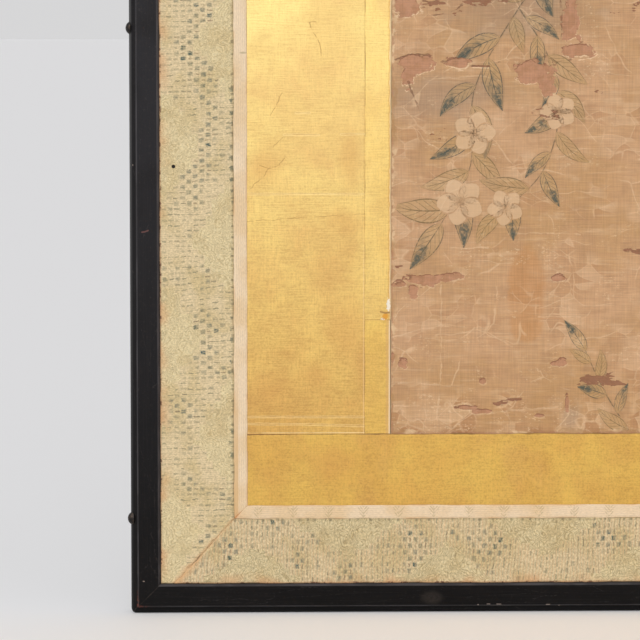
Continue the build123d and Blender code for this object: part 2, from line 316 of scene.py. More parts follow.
    def patches(self, size, low, high, detail=2.0):
        """Patches of noise: 0 where it is up to low, and 1 from high."""
        return self.rise(self.noise(size, detail), low, high)

    def warped(self, place, size, amount):
        """The place pushed about by noise."""
        return self.moved(place, self.shade(self.noise(size, out=1), amount))

    def edges(self, place):
        """Distance to the nearest edge of random cells that are 1 across."""
        return self.add("TexVoronoi", {"Vector": place, "Scale": 1.0}, feature="DISTANCE_TO_EDGE")

    def cell_chance(self, place):
        """A random number, 0 to 1, for each of those cells."""
        return self.split(self.add("TexVoronoi", {"Vector": place, "Scale": 1.0}, out=1))[0]

    def chance(self, x, y, seed=0.0):
        """Three random numbers, 0 to 1, for each pair of whole numbers."""
        return self.split(self.add("TexWhiteNoise", {"Vector": self.join(x, y, seed)}, out=1))

    def blots(self, place, spots, ragged):
        """Distance to the nearest of some ovals (x, z, half width, half height), 1 on the edge, bent by ragged."""
        away = [self.apart(self.past(place, x, z), wide, high, 1.0) for x, z, wide, high in spots]
        return self.plus(self.least(*away), ragged)

    def strokes(self, place, lines, bend=0.0):
        """Distance to the nearest of some broken lines, each a list of (x, z), bent that far out of true."""
        if bend:
            place = self.past(place, bend / 2, bend / 2)
            place = self.moved(place, self.stretch(self.noise(7, out=1, at=place), bend, bend, 0.0))
        away = []
        for line in lines:
            for (ax, az), (bx, bz) in zip(line, line[1:]):
                long = (bx - ax) ** 2 + (bz - az) ** 2
                run = ((bx - ax) / long, (bz - az) / long, 0)
                from_a = self.past(place, ax, az)
                share = self.add("VectorMath", {0: from_a, 1: run}, out=1, operation="DOT_PRODUCT")
                on_line = self.shade((bx - ax, bz - az, 0), self.add("Clamp", {0: share}))
                away.append(self.add("VectorMath", {0: from_a, 1: on_line}, out=1, operation="DISTANCE"))
        return self.least(*away)

    # Colour and surface

    def mix(self, share, a, b):
        """Colour a with that share of colour b."""
        return self.add("Mix", {0: share, 6: a, 7: b}, out=2, data_type="RGBA")

    def coat(self, colour, *shares):
        """Lays a colour over the paint, as much as the product of the shares. A tuple is a display colour."""
        shown = linear(*colour) if isinstance(colour, tuple) else colour
        self.colour = self.mix(self.times(*shares), self.colour, shown)

    def dim(self, amount):
        self.colour = self.shade(self.colour, amount)

    def bump(self, height, strength):
        """The surface raised by height millimetres."""
        return self.add("Bump", {"Height": height, "Strength": strength, "Distance": 0.001})

    def finish(self, height, strength, **values):
        """The material, with its colour, its height and the shader's other values."""
        self.set(Base_Color=self.colour, Normal=self.bump(height, strength), **values)
        return self.material


floor_paint = Paint("floor")
floor_paint.set(Base_Color=linear(240, 240, 242), Roughness=0.7)
bpy.ops.mesh.primitive_plane_add(size=120, location=(0, 0, 0))
floor = bpy.context.object
floor.name = "floor"
floor.data.materials.append(floor_paint.material)

# Patterns and marks, as places on the panel in millimetres

DASH_COLUMN = 4.3
DASH_ROW = 3.55
LOZENGE_SHIFT = {False: (0.442, 0.437), True: (0.767, 0.266)}
MOTIF_SHIFT = 0.377
STEP = 4.7
GOLD_COLOURS = {  # pale, deep and brown
    "sides": ((255, 227, 144), (244, 209, 131), (220, 170, 102)),
    "strips": ((252, 222, 139), (248, 213, 128), (224, 180, 107)),
    "bands": ((252, 218, 120), (244, 203, 111), (208, 156, 84)),
}
LEAF, PETAL, STEM, BARK = range(4)
INK_FACTS = ("u", "v", "chance", "kind")
SEAM = [(BROCADE_START, RIBBON_FOOT), (SEAM_FOOT, CLOTH_FOOT)]
TEAR_HEIGHT = 197.3
TEAR_SPOTS = [(458.4, 207.4, 1.2, 4.8), (461.8, 198.0, 2.2, 0.7)]
GOLD_RUBS = [(535.5, 149.8, 16, 14), (508, 160, 12, 10), (486, 190, 14, 22), (488, 262, 12, 12), (500, 100, 16, 12),
             (541, 300, 12, 16), (484, 300, 9, 22), (498, 640, 16, 26), (530, 820, 14, 18), (26, 420, 14, 22),
             (40, 760, 16, 16)]
GOLD_CRACKS = [[(506.4, 395.4), (510.8, 395.2), (510.6, 391.8), (505.4, 384.1), (503, 377.3), (503.5, 373.9)],
               [(529.9, 348.3), (533.8, 339.6), (537.3, 333.8)],
               [(544.1, 300.4), (539.2, 298.5), (531.4, 300.4), (527.9, 305.2)],
               [(539.2, 298.5), (540.6, 294.1), (544.6, 290.2), (551.5, 284.9)], [(529.3, 318.9), (535.3, 312.9)],
               [(552.6, 263), (517.4, 265.6), (474.7, 268.2)], [(60, 520), (44, 524), (30, 519)],
               [(505, 700), (512, 716), (511, 730)]]
GOLD_LINES = [[(552.6, 281.6), (474.8, 281.5)], [(528, 321), (505, 320.8)], [(490, 321.2), (474.8, 321.6)],
              [(552.9, 132.4), (474.6, 132.2)], [(552.9, 127.7), (517.5, 127.4), (474.6, 126.1)],
              [(520, 335.5), (511, 335.5)]]
SILK_LOSSES = [(441, 368.5, 12.4, 6), (446, 361, 5.5, 7.5), (412.4, 368.6, 8.6, 3.6), (398, 366.5, 6, 0.9),
               (362, 363.5, 13.5, 7.5), (353, 354.5, 6.5, 9), (337, 397, 6.4, 17), (333, 377, 9, 5),
               (446, 407, 10.5, 6.6), (434.5, 224.2, 13, 4.2), (451, 221.2, 5.5, 3), (441.6, 217, 4, 5.4),
               (417.8, 227, 7.6, 2.4), (343, 225.2, 4.6, 2.1), (448.8, 167.7, 3.5, 3.4), (342, 168.4, 3.6, 3.3),
               (347, 168, 3.4, 1.5), (395.3, 156.2, 2.5, 2.4), (406.9, 138.2, 6.6, 1.7), (396, 136, 6, 1.7),
               (338.4, 141, 1.6, 7), (357, 133, 4, 1.2), (455.6, 172, 1.4, 3)]
SILK_TEARS = [[(455, 370), (445.6, 374), (432.3, 374), (427, 368.6), (413, 372), (405.7, 366.5), (397.7, 366.6),
               (390.4, 365.9), (385, 369.2), (376.4, 366.9), (364.4, 370.5), (353, 373.2), (347, 369.2),
               (333.8, 371.2)],
              [(344.7, 411), (343.3, 398.3), (343.9, 382.5), (345.1, 373.2)],
              [(429.7, 400.3), (423.8, 400.3), (413.1, 404.3), (409.2, 407.6)],
              [(445.6, 356.6), (438.2, 336.7)]]
SILK_CREASES = [[(457.3, 185.2), (447.2, 187.9), (433.9, 191.2), (423.8, 193.2), (407.1, 192.5)],
                [(433.9, 185.2), (423.8, 183.8), (413.8, 183.8), (407.1, 186.5), (400.4, 191.8)],
                [(385.8, 219.3), (387.7, 194.5), (392.4, 189.1), (399, 185.1)],
                [(392.4, 189.1), (385.6, 185.7), (375.6, 179)],
                [(423.2, 220.7), (423.1, 156.9), (425, 140.1), (426.3, 130)],
                [(451.9, 155), (440.5, 155.6), (433.8, 154.3), (417, 152.9)], [(453.8, 139.5), (423.7, 139.4)],
                [(389.5, 135.3), (344.5, 138.5)], [(410.4, 169.7), (415.7, 154.2)], [(358.2, 199.1), (330, 199)],
                [(377.9, 254.7), (357.2, 255.4), (330, 254.6)], [(420, 245.4), (391.9, 245.4)],
                [(431.6, 357.3), (417.6, 358.6), (397.7, 359.9), (383, 356.6)],
                [(406.9, 319.4), (389.5, 319.4), (376.1, 301.4)], [(376.1, 298.8), (350.1, 296.7), (340, 294.1)]]
SILK_STAINS = [(366.5, 218, 13, 31), (366, 194, 11.5, 13)]
SILK_SHADES = [(430, 345, 40, 20), (400, 350, 30, 12), (372, 404, 60, 22), (336, 132, 8, 9), (300, 520, 40, 30),
               (180, 300, 30, 40)]
LACQUER_CHIPS = [(622.2, 21.9, 0.8, 0.4), (628.5, 301, 0.3, 0.5), (397.7, 5.2, 0.6, 0.4), (390.5, 5.6, 1.5, 0.25),
                 (383.8, 5.5, 1.8, 0.25), (350.7, 5.2, 1.6, 0.25), (343.2, 4.5, 0.6, 0.35), (240, 5.4, 1.4, 0.3),
                 (96, 5.3, 1.8, 0.3)]
LACQUER_SMUDGES = [(428.8, 10, 8, 5), (150, 12, 9, 5), (620, 430, 6, 14)]


# Materials

def brocade_paint(turned):
    """Tan cloth with olive relief in lozenges, and short dashes of dark weft in the bands between them."""
    p = Paint("brocade turned" if turned else "brocade")
    x, _, z = p.where()
    s, t = (z, x) if turned else (x, z)
    drift = p.split(p.noise(55, 1.0, out=1))
    s = p.plus(s, p.sway(drift[0], 6))
    t = p.plus(t, p.sway(drift[1], 6), (s, 0.03), p.sway(p.noise(8), 2.2))
    column = p.times(s, 1 / DASH_COLUMN)
    row = p.times(t, 1 / DASH_ROW)
    ic = p.whole(column)
    ir = p.whole(row)
    rough = p.split(p.noise(1.1, 1.0, out=1))
    fc = p.plus(p.part(column), p.sway(rough[0], 0.3))
    fr = p.plus(p.part(row), p.sway(rough[1], 0.35))

    def lozenge(s, t):
        u = p.math("MULTIPLY_ADD", s, 1 / 86, LOZENGE_SHIFT[turned][0])
        v = p.math("MULTIPLY_ADD", t, 1 / 130, LOZENGE_SHIFT[turned][1])
        return p.most(p.off(p.part(p.plus(u, v)), 0.5), p.off(p.part(p.less(u, v)), 0.5))

    r1, r2, r3 = p.chance(ic, ir, 1.0)
    cell = p.plus(lozenge(p.times(p.plus(ic, 0.5), DASH_COLUMN), p.times(p.plus(ir, 0.5), DASH_ROW)),
                  p.sway(r3, 0.05))
    band = p.rise(cell, 0.285, 0.3)
    odd = p.math("FLOORED_MODULO", p.plus(ic, ir), 2.0)
    dense = p.patches(30, 0.5, 0.6, 1.0)
    clump_here = p.times(band, odd, p.plus((dense, 0.8), (p.math("GREATER_THAN", r1, 0.85), 0.4)))
    thin_here = p.times(band, p.math("GREATER_THAN", r2, 0.22), p.math("MULTIPLY_ADD", r1, 0.7, 0.25))
    dash = p.times(p.rise(p.less(p.off(p.plus(fc, p.sway(r3, 0.3)), 0.5), p.times(r2, 0.32)), 0.24, 0.1),
                   p.bar(fr, 0.5, 0.03, 0.15))
    flecks = p.noise(1.0, 1.0, at=p.join(p.times(s, 0.45), p.times(t, 1.9), r3))
    block = p.times(p.bar(fc, 0.5, 0.24, 0.24), p.bar(fr, 0.5, 0.24, 0.26))
    clump = p.times(block, p.plus(0.4, (p.rise(flecks, 0.4, 0.6), 0.5)), clump_here)
    line = p.times(dash, thin_here, p.less(1.0, clump_here))

    flow = lozenge(s, t)
    curl = p.wave(p.plus((flow, 30), (p.noise(8.5, 1.0, twist=0.5), 13)))
    plain = p.times(p.less(1.0, p.times(band, 0.7)), p.patches(5.0, 0.22, 0.5))
    groove = p.times(p.rise(curl, 0.35, 0.95), plain)
    crest = p.times(p.rise(curl, -0.3, -0.95), plain)
    threads = p.noise(0.8, at=p.join(p.times(s, 0.5), p.times(t, 1.5)))
    pebble = p.less(p.noise(1.5, 1.0), 0.5)
    mottle = p.noise(16, 3.0)
    weft = p.wave(p.times(t, 1.9))
    warp = p.wave(p.times(s, 2.3))
    fine = p.wave(p.times(t, 1 / (2.1 if turned else 1.42)))

    p.colour = p.mix(p.times(band, 0.8), linear(220, 202, 158), linear(223, 202, 162))
    p.coat((210, 189, 142), p.rise(mottle, 0.42, 0.7))
    p.coat((152, 131, 90), groove, 0.56 if turned else 0.36)
    # The crests are painted paler: a painted highlight on the woven relief.
    p.coat((232, 219, 180), crest, 0.24)
    p.coat((206, 164, 122) if turned else (172, 150, 120), band, p.rise(fine, 0.1, 0.9), 0.4 if turned else 0.22)
    # The turned cloth gets a lower base here, so it is painted darker overall than the upright cloth: painted shade.
    grain = p.plus((threads, 0.74), (pebble, 0.8 if turned else 0.6))
    p.dim(p.plus(0.53 if turned else 0.605, grain))
    reddish = p.patches(30, 0.45, 0.65, 1.0)
    p.coat(p.mix(p.times(reddish, 0.8), linear(104, 108, 86), linear(134, 102, 78)), line, 0.8)
    p.coat(p.mix(r3, linear(66, 90, 88), linear(92, 100, 80)), clump)
    own, inner = (p.foot(), RIBBON_FOOT) if turned else (x, BROCADE_START)
    rim = p.off(own, inner)
    tick = p.times(p.rise(rim, 2.3, 1.2), p.rise(p.noise(2.6, at=p.join(t, 0.0)), 0.5, 0.6))
    p.coat((84, 82, 62), tick, 0.6)
    if not turned:
        beat = p.bar(p.part(p.times(t, 1 / 7.6)), 0.5, 0.1, 0.16)
        beat = p.times(beat, p.rise(p.plus(rim, (pebble, 4)), 3.2, 1.8), p.patches(48, 0.5, 0.56, 1.0))
        p.coat((74, 90, 76), beat, p.patches(4, 0.36, 0.56, 1.0), 0.75)
    # Painted shade: a soft darker line along the inner rim, beside the ribbon.
    p.coat((150, 132, 92), p.rise(rim, 2.0, 0.2), 0.3)
    edge = CLOTH_FOOT if turned else CLOTH_END
    stain = p.times(p.rise(p.off(own, edge), 9.0, 0.0), p.patches(22, 0.44, 0.66))
    p.coat((214, 158, 110), stain, 0.55)
    hem = p.times(p.rise(p.off(own, edge), 1.4, 0.2), p.plus(0.3, p.noise(5)))
    p.coat((196, 142, 98), hem, 0.7)
    foot = p.foot()
    seam = p.strokes(p.join(x, foot), [SEAM], 4.0)
    seam = p.plus(seam, p.sway(p.noise(5), 1.0))
    fold = p.times(p.rise(p.plus(seam, p.sway(mottle, 9.0)), 3.6, 0.2), p.rise(foot, 56, 30), 0.4 if turned else 0.2)
    fold = p.plus(fold, (p.rise(seam, 2.2, 0.2), 0.3))
    p.coat((216, 168, 116), fold)
    slit = p.times(p.rise(seam, 0.6, 0.1), p.patches(7, 0.34, 0.58))
    flap = p.bar(foot, 39, 4, 3)
    p.coat(p.mix(flap, linear(172, 118, 74), linear(70, 46, 32)), slit, p.plus(0.3, (flap, 0.6)))
    notch = p.times(p.rise(p.off(own, edge), 1.6, 0.5), p.patches(2.4, 0.56, 0.66, 1.0))
    p.coat((92, 48, 34), notch, 0.8)
    hole = p.rise(p.apart(p.past(p.own_place(), 601.5, 300.0), 1.0, 1.0, 1.0), 1.5, 1.0)
    p.coat((16, 12, 10), hole)
    height = p.plus((crest, 0.07), (groove, -0.07), (p.plus(hole, slit), -0.3), (p.plus(clump, line), 0.06),
                    (p.plus(weft, warp), 0.012), (p.plus(threads, pebble), 0.06))
    return p.finish(height, 0.8, Roughness=p.plus(0.62, (threads, 0.2)), Sheen_Weight=0.15, Specular_IOR_Level=0.35)


def ribbon_paint(turned):
    """Cream ribbon with fine ribs; the level lengths have a small woven motif at each pitch."""
    p = Paint("ribbon turned" if turned else "ribbon")
    x, _, z = p.where()
    s, t = (z, x) if turned else (x, z)
    rib = p.wave(p.plus((s, 0.72), (p.noise(30, 1.0), 2)))
    cross = p.wave(p.times(t, 1.35))
    cloud = p.noise(26, 3.0)
    grain = p.noise(1.0, at=p.join(p.times(s, 1.6), p.times(t, 0.5)))
    p.colour = p.mix(p.rise(cloud, 0.4, 0.68), linear(233, 210, 178), linear(226, 198, 158))
    p.dim(p.plus(0.75, (rib, 0.045), (grain, 0.46)))
    middle = (RIBBON_FOOT + GOLD_FOOT) / 2 if turned else (RIBBON_START + BROCADE_START) / 2
    foot = p.foot()
    own = foot if turned else x
    rim = p.times(p.rise(p.off(own, middle), 2.8, 4.6), p.patches(16, 0.46, 0.64))
    p.coat((214, 170, 118), rim, 0.5)
    if not turned:
        stained = p.times(p.rise(p.plus(p.less(x, middle), (p.noise(7), 0.8)), 1.6, 2.6), p.rise(foot, 190, 96))
        p.coat((212, 174, 122), stained, 0.75)
    corner = p.rise(p.off(p.less(x, RIBBON_START), p.less(GOLD_FOOT, foot)), 1.4, 0.3)
    near = p.rise(p.plus(p.off(x, BROCADE_START), p.off(foot, RIBBON_FOOT)), 13, 1)
    p.coat((206, 142, 86), near, p.plus(0.25, (corner, 0.6)))
    mark = p.apart(p.past(p.own_place(), 555.2, 375.4), 2.6, 0.7, 1.0)
    p.coat((150, 138, 96), p.rise(mark, 1.3, 0.6), 0.5)
    height = p.plus((rib, 0.03), (p.plus(cross, grain), 0.015))
    if turned:
        cell = p.plus((t, 1 / 23.6), MOTIF_SHIFT)
        along = p.size(p.sway(p.part(cell), 23.6))
        rise = p.less(own, middle)
        barb = p.part(p.times(p.less(rise, p.times(along, 1.1)), 1 / 2.3))
        leaf = p.times(p.bar(barb, 0.5, 0.12, 0.24), p.rise(p.less(along, p.times(rise, 0.28)), 3.2, 2.5))
        leaf = p.most(leaf, p.times(p.bar(along, 0.0, 0.16, 0.4), 0.7))
        leaf = p.times(leaf, p.rise(p.size(rise), 4.1, 3.6))
        motif = p.times(leaf, p.patches(1.6, 0.32, 0.54, 1.0))
        p.coat((164, 146, 100), motif, 0.44)
        height = p.plus(height, (motif, 0.03))
    return p.finish(height, 0.8, Roughness=0.6, Sheen_Weight=0.2, Specular_IOR_Level=0.35)


def gold_paint(kind):
    """Aged gold leaf on paper: laid lines, leaf edges, rubs, fine cracks and a worn rim, with painted shade that
    makes it darker and browner towards the foot.
    """
    p = Paint("gold " + kind)
    x, _, z = p.where()
    place = p.own_place()
    wander = p.sway(p.noise(9), 2.4)
    cloud = p.noise(46, 4.0, 0.55)
    tint = p.noise(30, 4.0, 0.6, at=p.stretch(p.seeded, 1.0, 1.0, 0.8))
    patch = p.noise(14, 3.0)
    laid = p.rise(p.noise(0.8, 1.0, at=p.join(p.times(x, 0.06), p.times(z, 0.95), 4.0)), 0.3, 0.7)
    laid_up = p.rise(p.noise(0.8, 1.0, at=p.join(p.times(x, 0.9), p.times(z, 0.07), 9.0)), 0.3, 0.7)
    laid_up = p.times(laid_up, p.rise(patch, 0.4, 0.6))
    speck = p.noise(1.2, 2.0, 0.6)
    leaf_x = p.plus((p.plus(x, (wander, 0.4)), 1 / 52), 0.18)
    leaf_z = p.plus((p.plus(z, (wander, 0.4)), 1 / 106), 0.344)
    leaf = p.chance(p.whole(leaf_x), p.whole(leaf_z), p.plus(p.side, 5.0))[0]
    lap = p.most(p.bar(p.part(leaf_x), 0.0, 0.0, 0.008), p.bar(p.part(leaf_z), 0.0, 0.0, 0.004))
    lap = p.times(lap, p.patches(15, 0.44, 0.58))
    pale, deep, brown = (linear(*shown) for shown in GOLD_COLOURS[kind])
    p.colour = p.mix(p.rise(cloud, 0.36, 0.64), pale, deep)
    foot_shade = p.rise(p.plus(z, p.sway(cloud, 90)), 430, 60)
    p.coat(p.mix(leaf, linear(240, 192, 130), brown), p.rise(tint, 0.46, 0.66), 0.28)
    lines = 0.05 if kind == "bands" else 0.09
    fine = p.plus((laid, lines), (laid_up, lines), (speck, 0.38))
    fine = p.times(p.less(fine, 0.19 + lines), p.plus(1.0, (foot_shade, 0.7)))
    p.dim(p.plus(0.99 if kind == "strips" else 0.97, (leaf, 0.03), (fine, 0.65)))
    p.coat(brown, p.rise(fine, 0.0, -0.22), 0.3)
    # Painted shade: the gold is painted darker and browner towards the foot, and the fine marks grow stronger with
    # it.
    low = (0.72, 0.58, 0.41) if kind == "sides" else (0.76, 0.67, 0.54)
    p.coat(p.stretch(p.colour, *low), foot_shade)
    rub = p.rise(p.blots(place, GOLD_RUBS, p.sway(tint, 2.6)), 1.3, 0.1)
    p.coat((204, 146, 82), rub, 0.3)
    p.coat(brown, lap, 0.22)
    p.coat((190, 138, 76), p.rise(speck, 0.66, 0.76), 0.4)
    height = p.plus((laid, 0.05), (laid_up, 0.03), (speck, 0.04), (patch, 0.16), (lap, 0.02))
    if kind == "sides":
        crack = p.rise(p.plus(p.strokes(place, GOLD_CRACKS, 3.0), (p.size(wander), 0.25)), 0.5, 0.08)
        crack = p.times(crack, p.patches(6, 0.34, 0.5))
        line = p.plus(p.strokes(place, GOLD_LINES), p.sway(p.noise(4, 1.0), 0.6))
        p.coat((150, 106, 52), crack, 0.5)
        p.coat((255, 232, 170), p.bar(line, 0.55, 0.1, 0.3), 0.35)
        p.coat((186, 134, 74), p.rise(line, 0.35, 0.05), 0.35)
        seam = p.off(x, STRIP_START, STRIP_END)
        high = p.rise(p.split(place)[1], 225, 265)
        p.coat((180, 128, 70), p.rise(seam, 0.7, 0.2), p.patches(30, 0.4, 0.6), high, 0.4)
        p.coat((250, 216, 158), p.bar(seam, 0.8, 0.1, 0.5), p.less(1.0, high), 0.4)
        hem = p.off(z, PICTURE_FOOT, PICTURE_TOP)
        p.coat((252, 226, 166), p.bar(hem, 0.9, 0.1, 0.4), p.patches(18, 0.36, 0.56), 0.7)
        height = p.plus(height, (crack, -0.1), (p.rise(line, 0.5, 0.0), -0.06))
    if kind == "strips":
        own_z = p.split(place)[1]
        rim = p.off(x, PICTURE_END, PICTURE_START)
        frayed = p.plus(rim, p.sway(p.noise(6, 3.0), 2.0))
        torn = p.rise(own_z, TEAR_HEIGHT + 0.6, TEAR_HEIGHT - 0.6)
        p.coat(p.stretch(p.colour, 1.04, 1.04, 0.8), torn, 0.6)
        p.coat((210, 164, 110), p.rise(frayed, 4.0, 2.8), torn, 0.45)
        p.coat((236, 212, 172), p.rise(p.plus(rim, (frayed, 0.3)), 2.3, 1.7), torn, 0.9)
        p.coat((236, 208, 170), p.rise(frayed, 1.3, 0.8), 0.75)
        p.coat((118, 84, 52), p.bar(rim, 0.35, 0.15, 0.3), p.plus(0.35, (torn, 0.5)))
        p.coat((204, 142, 60), p.bar(frayed, 1.5, 0.1, 0.4), p.less(1.0, torn), 0.5)
        step = p.rise(p.off(own_z, TEAR_HEIGHT), 0.5, 0.1)
        p.coat((150, 108, 58), step, 0.5)
        ragged = p.sway(speck, 1.6)
        tear = p.rise(p.blots(place, TEAR_SPOTS, ragged), 1.1, 0.8)
        p.coat((240, 230, 212), tear)
        bare = p.rise(p.blots(place, [(460.4, 199.8, 2.0, 2.3)], ragged), 1.1, 0.8)
        p.coat((222, 158, 62), bare)
        scrap = p.rise(p.strokes(place, [[(463.6, 202.8), (460.5, 202.0), (457.8, 202.3)]]), 0.75, 0.35)
        p.coat((150, 112, 68), scrap, 0.8)
        height = p.plus(height, (p.plus(step, tear), -0.2))
    if kind == "bands":
        rim = p.off(z, PICTURE_FOOT, PICTURE_TOP)
        ragged = p.plus(rim, p.sway(p.noise(7, 3.0), 1.6))
        dark = p.times(p.rise(ragged, 0.8, 0.3), p.plus(0.4, (p.patches(22, 0.4, 0.6), 0.5)))
        p.coat((112, 76, 40), dark)
        height = p.plus(height, (p.rise(ragged, 0.9, 0.4), -0.3))
    roughness = p.plus(0.3, (patch, 0.12), (p.plus(rub, laid), 0.06))
    return p.finish(height, 0.7, Metallic=0.35, Roughness=roughness, Specular_IOR_Level=0.4)


def silk_ground(p):
    """Paints the aged silk: fine weave, pale creases, stains and places where it is lost. Returns its height, its
    roughness and how far it is lost."""
    x, _, z = p.where()
    place = p.own_place()
    warp = p.noise(0.8, 1.0, at=p.join(p.times(x, 1.1), p.times(z, 0.05), 2.0))
    weft = p.noise(0.8, 1.0, at=p.join(p.times(x, 0.05), p.times(z, 1.1), 7.0))
    slub = p.noise(1.0, 3.0, at=p.join(p.times(x, 0.03), p.times(z, 0.4), 5.0))
    cloud = p.noise(60, 4.0, 0.55)
    blotch = p.noise(17, 5.0, 0.6, at=p.stretch(p.seeded, 0.8, 1.0, 1.2))
    fine = p.noise(5, 3.0, 0.6)
    bent = p.warped(p.seeded, 34, 22.0)
    creases = p.edges(p.stretch(bent, 1 / 62, 1 / 50, 1 / 38))
    plates = p.stretch(bent, 1 / 13, 1 / 20, 1 / 8)
    cracks = p.edges(plates)
    plate = p.cell_chance(plates)
    cells = p.warped(p.stretch(p.seeded, 0.2, 0.2, 0.4), 3, 0.5)
    flake = p.cell_chance(cells)
    thin = p.plus(p.strokes(place, SILK_CREASES, 3.0), p.sway(fine, 1.6))
    crease = p.times(p.rise(creases, 0.011, 0.002), p.patches(22, 0.44, 0.56))
    crease = p.most(crease, p.times(p.rise(p.size(thin), 0.62, 0.12), p.patches(12, 0.32, 0.5)))
    low = p.times(p.rise(z, PICTURE_FOOT + 34, PICTURE_FOOT + 8), 0.1)
    crackle = p.times(p.rise(cracks, 0.05, 0.008), p.rise(p.plus(p.noise(26), low), 0.5, 0.62))
    crumb = p.times(p.rise(p.noise(1.7, 3.0, 0.6, at=p.stretch(p.seeded, 0.8, 1.0, 1.5)), 0.56, 0.68),
                    p.rise(p.plus(p.noise(21, 3.0), low), 0.52, 0.64))
    p.colour = p.mix(p.rise(cloud, 0.38, 0.62), linear(198, 157, 118), linear(189, 148, 103))
    p.coat((178, 138, 100), p.rise(blotch, 0.48, 0.66), 0.6)
    p.coat((208, 172, 135), p.rise(blotch, 0.46, 0.3), 0.55)
    cracked = p.times(p.rise(p.plus(p.noise(26), low), 0.47, 0.62), p.plus(0.36, (low, 2.4)))
    p.coat((216, 180, 144), p.rise(plate, 0.6, 0.64), cracked)
    p.coat((178, 132, 94), p.rise(plate, 0.34, 0.3), cracked)
    p.coat((216, 180, 142), p.rise(slub, 0.56, 0.7), 0.35)
    p.coat((182, 138, 100), p.rise(slub, 0.44, 0.3), 0.3)
    stain = p.rise(p.blots(place, SILK_STAINS, p.plus(p.sway(fine, 0.3), p.sway(blotch, 0.5))), 1.08, 0.8)
    p.coat((190, 136, 82), stain, p.plus(0.15, (blotch, 0.7)))
    foot = p.times(p.rise(p.plus(z, (blotch, 8)), PICTURE_FOOT + 11, PICTURE_FOOT + 5), p.patches(24, 0.48, 0.6))
    p.coat((160, 108, 66), foot, 0.6)
    p.coat(p.stretch(p.colour, 0.95, 0.93, 0.87), p.rise(z, PICTURE_FOOT + 60, PICTURE_FOOT + 10))
    p.coat((158, 132, 108), p.rise(p.blots(place, SILK_SHADES, p.sway(blotch, 1.6)), 1.2, 0.3), 0.5)
    ragged = p.plus(p.sway(blotch, 2.2), p.sway(fine, 0.7), p.sway(flake, 0.45))
    strewn = p.times(p.less(p.noise(34, 5.0, 0.62, at=p.stretch(p.seeded, 0.5, 1.0, 1.7)), 0.675), -16)
    strewn = p.plus(1.0, strewn, p.sway(flake, 0.8))
    away = p.least(p.blots(place, SILK_LOSSES, ragged), strewn)
    tear = p.plus(p.strokes(place, SILK_TEARS, 2.0), p.sway(fine, 3.4))
    lost = p.rise(away, 1.02, 0.97)
    above = p.moved(place, (0.25, 0.9, 0.0))
    lost_above = p.rise(p.blots(above, SILK_LOSSES, ragged), 1.02, 0.97)
    shadow = p.times(lost, p.less(1.0, lost_above))
    lit = p.times(p.less(1.0, lost), lost_above)
    gap = p.times(p.rise(p.size(tear), 0.6, 0.15), p.patches(9, 0.4, 0.52))
    p.coat((228, 194, 156), p.most(crease, p.times(crackle, 0.7)), 0.42)
    p.coat((230, 202, 164), crumb, 0.5)
    p.coat(p.mix(p.rise(fine, 0.4, 0.6), linear(184, 134, 104), linear(172, 124, 92)), lost, 0.85)
    p.coat((122, 80, 56), shadow, 0.6)
    p.coat((232, 200, 162), lit, p.plus(0.3, (p.rise(p.split(place)[1], 240, 330), 0.4)))
    p.coat((112, 76, 52), gap, 0.65)
    p.dim(p.plus(0.685, (warp, 0.29), (weft, 0.34)))
    edge = p.least(p.off(x, PICTURE_END, PICTURE_START), p.off(z, PICTURE_FOOT, PICTURE_TOP))
    rub = p.rise(p.plus(edge, p.sway(blotch, 22)), 2.6, 1.2)
    p.coat(p.mix(p.rise(cloud, 0.46, 0.5), linear(228, 198, 156), linear(170, 130, 84)), rub,
           p.rise(fine, 0.36, 0.56), 0.6)
    edge = p.plus(edge, p.sway(fine, 6))
    p.coat((158, 112, 82), p.rise(edge, 1.4, 0.3), 0.5)
    height = p.plus((rub, 0.04), (crease, 0.1), (crackle, 0.05), (p.plus(lost, gap), -0.16),
                    (p.plus(warp, weft), 0.05), (p.plus(blotch, slub), 0.3), (crumb, 0.06),
                    p.sway(flake, p.times(lost, 0.05)))
    return height, p.plus(0.62, (lost, 0.12)), lost


def silk_paint():
    p = Paint("silk")
    height, roughness, _ = silk_ground(p)
    return p.finish(height, 0.8, Roughness=roughness, Sheen_Weight=0.1, Specular_IOR_Level=0.35)


